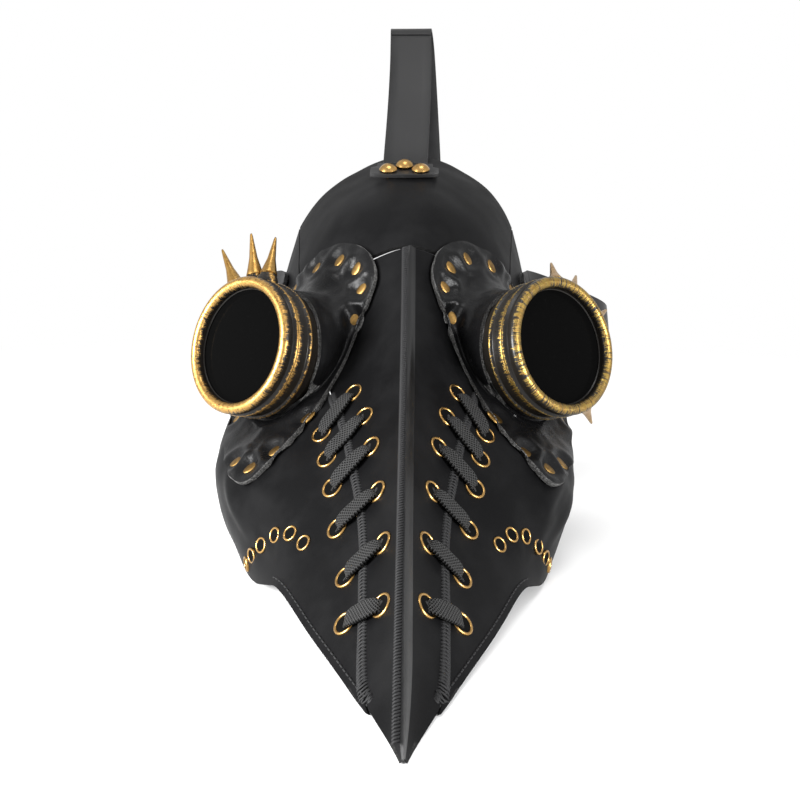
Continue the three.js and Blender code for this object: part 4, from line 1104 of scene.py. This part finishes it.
class MASK_OT_goggles(MaskOperator, bpy.types.Operator):
    """Barrels, front rings, lenses, gaskets and spikes"""
    bl_idname = "mask.goggles"
    bl_label = "Goggles"

    def build(self):
        for tag in SIDES:
            self.bezel(GOGGLES[tag])
            self.lens(GOGGLES[tag])
            self.barrel(GOGGLES[tag])
            self.spikes(tag)

    def bezel(self, goggle):
        s = sizes()
        R, L = s.bezel_radius - 0.6 * MM, s.lens_opening
        mid = (R + L) / 2
        fat = (R - L) / 2
        crown = [(mid + fat * math.cos(a), -2.2 * MM + fat * math.sin(a))
                 for a in np.linspace(0, math.pi, 15)]
        inside = [(L, -4.2 * MM), (L - 0.4 * MM, -4.6 * MM), (L + 0.2 * MM, -5.3 * MM)]
        back = [(31.2 * MM, -5.3 * MM), (31.2 * MM, -9.4 * MM)]
        thin = [(R - 1.0 * MM, -9.4 * MM), (R + 0.1 * MM, -8.4 * MM), (R + 0.3 * MM, -7.7 * MM),
                (R - 0.1 * MM, -6.9 * MM), (R - 0.9 * MM, -6.5 * MM), (R - 1.3 * MM, -5.9 * MM),
                (R - 1.2 * MM, -5.2 * MM), (R - 0.3 * MM, -4.4 * MM)]
        obj = spun(f"front_ring_{goggle.tag}", crown + inside + back + thin, goggle.centre, goggle.axis, 96)
        finish_piece(obj, goggle_finish(goggle, "bezel"), f"bezel_{goggle.tag}",
                     [f"bezel_ring_{goggle.tag}"])

    def lens(self, goggle):
        tag = goggle.tag
        glass = [(0, -3.6 * MM), (12 * MM, -3.75 * MM), (20 * MM, -4.1 * MM), (28 * MM, -5.0 * MM),
                 (30.1 * MM, -5.35 * MM), (30.1 * MM, -5.9 * MM), (0, -5.9 * MM)]
        finish_piece(spun(f"smoked_lens_{tag}", glass, goggle.centre, goggle.axis, 96), look("smoked lens"),
                     f"lens_carrier_{tag}", [f"lens_{tag}"])
        seal = [(26.7 * MM, -6.2 * MM), (30.1 * MM, -6.2 * MM),
                (30.1 * MM, -7.2 * MM), (26.7 * MM, -7.2 * MM)]
        finish_piece(spun(f"lens_seal_{tag}", seal, goggle.centre, goggle.axis, 64, 0.25 * MM),
                     look("gasket rubber"), f"lens_carrier_{tag}", [f"lens_gasket_{tag}"])

    def barrel(self, goggle):
        s = sizes()
        R, tag = s.barrel_radius, goggle.tag
        front = -9.6 * MM
        ring = front - 0.75 * s.barrel_band
        profile = [(26.6 * MM, -7.6 * MM), (30.3 * MM, -7.6 * MM), (30.3 * MM, front), (R - 0.8 * MM, front),
                   (R - 0.3 * MM, front - 0.5 * MM), (R - 0.1 * MM, front - 3 * MM),
                   (R - 0.2 * MM, ring + 1.4 * MM), (R + 0.7 * MM, ring + 0.9 * MM),
                   (R + 1.0 * MM, ring + 0.2 * MM), (R + 0.8 * MM, ring - 0.5 * MM),
                   (R, ring - 0.9 * MM), (R - 0.2 * MM, ring - 1.6 * MM), (R - 0.5 * MM, ring - 5 * MM),
                   (R - 2 * MM, ring - 5.6 * MM), (R - 2 * MM, ring - 12 * MM), (26.6 * MM, ring - 12 * MM)]
        body = spun(f"barrel_shell_{tag}", profile, goggle.centre, goggle.axis, 96, 0.3 * MM)
        finish_piece(body, goggle_finish(goggle, "barrel"), "hood",
                     [f"goggle_barrel_{tag}"])

    # For each spike: degrees from up towards outward, mm along the axis, lean to the front and lean around.
    stances = {"r": [(-3, -11, -16, 20), (13, -12, 4, 5), (33, -11, 4, 5), (142, -13, -30, -15)],
               "l": [(25, -12, -36, -18), (42, -12, -26, -14), (72, -12, -15, 0), (144, -14, -32, 20)]}

    def spikes(self, tag):
        """Slender cones on dark collars. The last seat on the wearer's right has lost its spike."""
        s, goggle = sizes(), GOGGLES[tag]
        L = s.spike_length
        cone = [(0, 3.3 * MM), (3.7 * MM, 3.3 * MM), (4.25 * MM, 3.8 * MM), (4.2 * MM, 4.5 * MM),
                (3.7 * MM, 6.2 * MM), (2.1 * MM, 0.56 * L), (0.7 * MM, L + 1.6 * MM),
                (0.45 * MM, L + 2.5 * MM), (0, L + 2.9 * MM)]
        places = []
        for i, (degrees, along, front, around) in enumerate(self.stances[tag]):
            base = goggle.polar(degrees, s.barrel_radius + 0.4 * MM, along * MM)
            out = (base - goggle.polar(0, 0, along * MM)).normalized()
            round_way = goggle.axis.cross(out)
            axis = (out + goggle.axis * math.tan(math.radians(front))
                    + round_way * math.tan(math.radians(around)))
            places.append(frame_matrix(base, out.lerp(axis.normalized(), 0.45)))
            node = f"spike_{tag}_{i + 1}"
            if node in NODES:
                obj = spun(f"gold_{node}", cone, base, axis.normalized(), 40)
                finish_piece(obj, look("spike gold"), "hood", [node])
        collar = [(0, -2.5 * MM), (5.3 * MM, -2.5 * MM), (5.1 * MM, 1.2 * MM), (4.7 * MM, 1.5 * MM),
                  (4.7 * MM, 2.3 * MM), (4.2 * MM, 2.6 * MM), (4.1 * MM, 3.6 * MM), (0, 3.6 * MM)]
        pattern = spun("collar_pattern", collar, Vector(), Vector((0, 0, 1)), 32, 0.2 * MM)
        finish_piece(strew(f"spike_collars_{tag}", pattern, places), goggle_finish(goggle, "barrel"), "hood")
        discard(pattern)


def edge_trace(obj, low_y, high_y, step, score):
    """Smoothed line of the highest-scoring vertex in each slice along Y."""
    points = coordinates(obj)
    line = []
    for y in np.arange(low_y, high_y, step):
        near = points[np.abs(points[:, 1] - y) < step * 1.2]
        if len(near):
            line.append(near[np.argmax([score(p) for p in near])])
    line = np.array(line)
    for _ in range(3):
        line[1:-1] = (line[:-2] + 2 * line[1:-1] + line[2:]) / 4
    return [Vector(p) for p in line]


def walk(line, pitch):
    """Evenly spaced (point, direction) along a polyline."""
    result, left = [], 0.0
    for a, b in zip(line, line[1:]):
        span = (b - a).length
        while left < span:
            result.append((a.lerp(b, left / span), (b - a) / span))
            left += pitch
        left -= span
    return result


def stitch_pattern():
    """A thread along X from -0.5 to 0.5, bent down at both ends. Its Y and Z are in units of the thread."""
    pick_nothing()
    bpy.ops.mesh.primitive_cylinder_add(vertices=6, radius=1, depth=1, rotation=(0, math.pi / 2, 0))
    obj = bpy.context.object
    bpy.ops.object.transform_apply(location=False, rotation=True, scale=False)
    with editing(obj):
        for place in (-0.3, 0.0, 0.3):
            bpy.ops.mesh.select_all(action="SELECT")
            bpy.ops.mesh.bisect(plane_co=(place, 0, 0), plane_no=(1, 0, 0))
    for vertex in obj.data.vertices:
        end = max(0.0, abs(vertex.co.x) - 0.3) / 0.2
        vertex.co.y *= 1 - 0.35 * end
        vertex.co.z = vertex.co.z * (1 - 0.35 * end) - 1.5 * end
    smooth(obj, 80)
    return obj


def stitch_matrix(start, end, up, radius):
    """Lays a stitch pattern between two points on a surface."""
    x = end - start
    up = (up - x * (up.dot(x) / x.length_squared)).normalized()
    y = up.cross(x.normalized())
    spread = Matrix((x, y * radius, up * radius)).transposed().to_4x4()
    return Matrix.Translation((start + end) / 2 + up * radius * 0.5) @ spread


class MASK_OT_stitching(MaskOperator, bpy.types.Operator):
    """Ridge welt with its wrapped stitches, zigzag seams and the hem's topstitch"""
    bl_idname = "mask.stitching"
    bl_label = "Welt and stitching"

    def build(self):
        self.pattern = stitch_pattern()
        self.surface = hide_surface()
        self.ridge()
        self.brow()
        for tag in SIDES:
            self.zigzag(tag)
            self.hem(tag)
        discard(self.pattern)

    def backing(self, name, line):
        """A strip of lining behind a seam, so that no light shows through it."""
        path = [Vector(p) for p in line[::6]]
        away = [Vector(v) for v in outward(np.array(path))]
        deep = [p - v * 3.4 * MM for p, v in zip(path, away)]
        across = []
        for i, up in enumerate(away):
            along = (deep[min(i + 1, len(deep) - 1)] - deep[max(i - 1, 0)]).normalized()
            across.append(along.cross(up).normalized())
        widths = [min(12 * MM, 3 * MM + 0.3 * abs(p.y - CAD_BOX[0][1])) for p in deep]
        obj = ribbon(name, deep, across, widths, 0.8 * MM, 4 * len(deep))
        return finish_piece(obj, look("flesh side"), "hood")

    def brow(self):
        """Backs the gap between the beak's arched edge and the forehead."""
        points = np.vstack([coordinates(bpy.data.objects[f"beak_hide_{tag}"]) for tag in SIDES])
        line = []
        for x in np.arange(-34 * MM, 34 * MM, 1.5 * MM):
            near = points[np.abs(points[:, 0] - x) < 1.5 * MM]
            if len(near):
                line.append(near[np.argmax(near[:, 1])])
        line = np.array(line)
        for _ in range(4):
            line[1:-1] = (line[:-2] + 2 * line[1:-1] + line[2:]) / 4
        self.backing("brow_backing", list(line))

    def sew(self, name, stitches, radius):
        """stitches are (start, end, up)."""
        places = [stitch_matrix(a, b, up, radius) for a, b, up in stitches]
        return finish_strewn(name, self.pattern, places, "sewing thread")

    def ridge(self):
        welt = copy_of("ridge_welt", "ridge_piping")
        crease_sharp(welt, 42)
        subdivide(welt, 2)
        points = coordinates(welt)
        points[:, 2] += 0.5 * MM * fall(np.abs(points[:, 0] - 1.5 * MM), 1.6 * MM)
        points += outward(points) * (sizes().undulation * wander(points, 34 * MM, 3.1))[:, None]
        set_coordinates(welt, draw_tip(points))
        smooth(welt, 50)
        finish_piece(welt, look("welt hide"), "hood", ["ridge_welt"])
        surface = surface_of(welt)
        low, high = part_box("ridge_welt")
        line = []
        for y in np.arange(low.y - 9 * MM, high.y - 1 * MM, 1.5 * MM):
            hit, _, _, _ = surface.ray_cast(Vector((-0.5 * MM, y, 0.3)), Vector((0, 0, -1)))
            if hit is not None:
                line.append(hit)
        stitches = []
        for place, direction in walk(line, 1.28 * MM):
            up = Vector((1, 0, 0)).cross(direction).normalized()
            up = up if up.z > 0 else -up
            lean = direction * 0.35 * MM
            start = place + Vector((-2.7 * MM, 0, 0)) - lean - up * 0.55 * MM
            end = place + Vector((1.5 * MM, 0, 0)) + lean - up * 0.1 * MM
            stitches.append((start, end, up))
        self.sew("ridge_wrap_stitches", stitches, 0.56 * MM)

    def zigzag(self, tag):
        side = SIDES[tag]
        beak = bpy.data.objects[f"beak_hide_{tag}"]
        top = laced_holes(tag)[0][0][0].y + 12 * MM
        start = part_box(f"beak_panel_{tag}")[0].y + 22 * MM
        line = edge_trace(beak, start, top, 1.5 * MM, lambda p: p[0] * side)
        self.backing(f"seam_backing_{tag}", line[12:])
        stitches = []
        for phase in (0, 1):
            last = None
            for i, (place, direction) in enumerate(walk(line, 1.7 * MM)):
                up = Vector(outward(np.array([place]))[0])
                across = direction.cross(up).normalized()
                wide = 2.6 * MM if (i + phase) % 2 else -2.6 * MM
                point, up = onto(self.surface, place + across * wide, up)
                if last is not None and (point - last).length < 7 * MM:
                    stitches.append((last, point, up))
                last = point
        self.sew(f"seam_zigzag_{tag}", stitches, 0.5 * MM)

    def hem(self, tag):
        side, s = SIDES[tag], sizes()
        cheek = bpy.data.objects[f"cheek_hide_{tag}"]
        low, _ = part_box(f"cheek_panel_{tag}")
        line = edge_trace(cheek, low.y + 3 * MM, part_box(f"jaw_tab_{tag}")[0].y + 2 * MM, 1.5 * MM,
                          lambda p: -p[2] + 0.5 * p[0] * side)
        stitches = []
        away = Vector((side * 0.75, -0.35, 0.55)).normalized()
        for place, direction in walk(line, 3.3 * MM):
            inward = direction.cross(away).normalized()
            inward = inward if inward.z > 0 else -inward
            point, up = onto(self.surface, place + inward * 3.2 * MM, away)
            half = direction * s.stitch_length / 2
            stitches.append((point - half, point + half, up))
        self.sew(f"hem_stitches_{tag}", stitches, s.thread_radius)


class MASK_OT_hems(MaskOperator, bpy.types.Operator):
    """Folded hem inside the beak and the jaw tabs"""
    bl_idname = "mask.hems"
    bl_label = "Hems and jaw tabs"

    def build(self):
        for tag in SIDES:
            for node, name, slot in ((f"beak_hem_{tag}", f"folded_hem_{tag}", "hem_leather"),
                                     (f"jaw_tab_{tag}", f"jaw_fold_{tag}", "face_leather")):
                obj = copy_of(node, name)
                crease_sharp(obj, 42)
                subdivide(obj, 3)
                set_coordinates(obj, draw_tip(coordinates(obj)))
                smooth(obj, 50)
                finish_piece(obj, look("face hide"), "hood", [node])


class MASK_OT_straps(MaskOperator, bpy.types.Operator):
    """Crown strap, back strap, buckle, keeper and their rivets"""
    bl_idname = "mask.straps"
    bl_label = "Straps and buckle"

    def build(self):
        groups = FRAME["record"]["behaviour"]["bodies"]
        bodies = {node: body for body, nodes in groups.items() for node in nodes}
        straps = {"crown_strap_tab": "crown_tab", "crown_strap_front": "crown_front_length",
                  "crown_strap_rear": "crown_rear_length", "back_strap_long": "holed_strap",
                  "back_strap_short": "buckle_strap", "strap_keeper": "keeper_loop"}
        for node, name in straps.items():
            obj = copy_of(node, name)
            crease_sharp(obj, 35)
            subdivide(obj, 2)
            bevel_sharp(obj, 0.35 * MM, 45)
            smooth(obj, 50)
            finish_piece(obj, look("strap hide"), bodies[node], [node])
        for node, name in (("buckle_frame", "brass_frame"), ("buckle_prong", "brass_prong")):
            obj = copy_of(node, name)
            subdivide(obj, 2)
            smooth(obj, 60)
            finish_piece(obj, look("bright brass"), bodies[node], [node])
        self.rivets(bodies)

    def rivets(self, bodies):
        dome = 5.6 * MM
        for node in [n for n in NODES if "_rivet" in n]:
            centre, axis, r = self.head(node)
            profile = arc((0, -3.2 * MM), dome, 90, 90 - math.degrees(math.asin(min(1, r / dome))), 8)
            crown = [(x, h - profile[-1][1] + 0.55 * MM) for x, h in profile]
            obj = spun(f"domed_{node}", crown + [(r - 0.1 * MM, 0.1 * MM), (r - 0.7 * MM, 0), (1.7 * MM, 0),
                                                 (1.7 * MM, -4 * MM), (0, -4 * MM)], centre, axis, 40)
            finish_piece(obj, look("bright brass"), bodies[node], [node])

    def head(self, node):
        """Centre of the seat under a rivet's head, its outward axis and its radius."""
        points = np.array([v.co for v in NODES[node].data.vertices])
        middle = points.mean(0)
        _, directions = np.linalg.eigh(np.cov((points - middle).T))
        for axis in (directions[:, 2], directions[:, 0]):
            height = (points - middle) @ axis
            flat = np.linalg.norm((points - middle) - height[:, None] * axis, axis=1)
            if flat[np.argmax(height)] < 0.6 * MM or flat[np.argmin(height)] < 0.6 * MM:
                break
        low, high = height.min(), height.max()
        if flat[height > high - 0.5 * MM].max() > flat[height < low + 0.5 * MM].max():
            axis, high = -axis, -low
        radius = flat.max()
        return Vector(middle + axis * (high - 1.6 * MM)), Vector(axis), float(radius)


class MASK_OT_stage(MaskOperator, bpy.types.Operator):
    """Pale floor, soft lights and the camera"""
    bl_idname = "mask.stage"
    bl_label = "Studio"

    def build(self):
        scene = bpy.context.scene
        scene.view_settings.view_transform = "Standard"
        self.floor()
        world = bpy.data.worlds.new("Studio")
        world.use_nodes = True
        world.node_tree.nodes["Background"].inputs["Color"].default_value = (1, 1, 1, 1)
        world.node_tree.nodes["Background"].inputs["Strength"].default_value = 1.0
        scene.world = world
        for name, place, target, size, power in (
                ("Left softbox", (-0.8, -0.5, 0.3), (0, -0.05, 0.08), 0.45, 36.0),
                ("Right softbox", (0.75, -0.7, 0.25), (0, 0, 0.1), 0.4, 20.0),
                ("Top softbox", (0.1, -0.25, 1.1), (0, 0, 0.1), 0.5, 4.0)):
            self.light(name, Vector(place), Vector(target), size, power)
        self.camera()

    def floor(self):
        """Pale floor that fades into the backdrop's own white with distance."""
        pick_nothing()
        bpy.ops.mesh.primitive_circle_add(vertices=96, radius=30, fill_type="NGON",
                                          location=(0, 0, -0.2 * MM))
        floor = bpy.context.object
        floor.name = "studio_floor"
        material, tree, shader = new_material("studio floor")
        vector = object_coordinates(tree)
        length_of = add_node(tree, "ShaderNodeVectorMath", operation="LENGTH")
        tree.links.new(vector, length_of.inputs[0])
        far = ranged(tree, length_of.outputs["Value"], 0.35, 0.95)
        cloud = noise_at(tree, vector, 3.0)
        near = mixed(tree, ranged(tree, cloud, 0.0, 1.0, 0.0, 0.1), colours().floor, (0.7, 0.7, 0.7, 1))
        tree.links.new(mixed(tree, far, near, (0, 0, 0, 1)), shader.inputs["Base Color"])
        shader.inputs["Emission Color"].default_value = (1, 1, 1, 1)
        tree.links.new(far, shader.inputs["Emission Strength"])
        shader.inputs["Roughness"].default_value = 1.0
        shader.inputs["Specular IOR Level"].default_value = 0.0
        floor.data.materials.append(material)

    def light(self, name, place, target, size, power):
        data = bpy.data.lights.new(name, "AREA")
        data.shape = "DISK"
        data.size = size
        data.energy = power
        lamp = bpy.data.objects.new(name, data)
        lamp.location = place
        lamp.rotation_euler = (target - place).to_track_quat("-Z", "Y").to_euler()
        bpy.context.scene.collection.objects.link(lamp)

    def camera(self):
        data = bpy.data.cameras.new("Camera")
        data.lens = 45
        data.sensor_width = 36
        data.sensor_fit = "HORIZONTAL"
        data.clip_start = 0.02
        camera = bpy.data.objects.new("Camera", data)
        camera.location = CAMERA_PLACE
        camera.rotation_euler = CAMERA_TURN
        bpy.context.scene.collection.objects.link(camera)
        bpy.context.scene.camera = camera


OPERATORS = (MASK_OT_stage, MASK_OT_hide, MASK_OT_hems, MASK_OT_flanges, MASK_OT_goggles, MASK_OT_lacing,
             MASK_OT_vents, MASK_OT_stitching, MASK_OT_straps)


class MASK_PT_panel(bpy.types.Panel):
    """Sizes, colours and one button for each group of pieces"""
    bl_idname = "MASK_PT_panel"
    bl_label = "Plague Doctor Mask"
    bl_space_type = "VIEW_3D"
    bl_region_type = "UI"
    bl_category = "Mask"

    def draw(self, context):
        for group in (context.scene.mask_sizes, context.scene.mask_colours):
            box = self.layout.box()
            for name in group.__annotations__:
                box.prop(group, name)
        for operator in OPERATORS:
            self.layout.operator(operator.bl_idname)


CLASSES = (MaskSizes, MaskColours, *OPERATORS, MASK_PT_panel)


def register():
    for item in CLASSES:
        bpy.utils.register_class(item)
    bpy.types.Scene.mask_sizes = bpy.props.PointerProperty(type=MaskSizes)
    bpy.types.Scene.mask_colours = bpy.props.PointerProperty(type=MaskColours)


def unregister():
    del bpy.types.Scene.mask_colours
    del bpy.types.Scene.mask_sizes
    for item in reversed(CLASSES):
        bpy.utils.unregister_class(item)


def main():
    register()
    build_grain()
    build_brushed()
    build_weave()
    for operator in OPERATORS:
        getattr(bpy.ops.mask, operator.bl_idname.split(".")[1])()


if __name__ == "__main__":
    main()
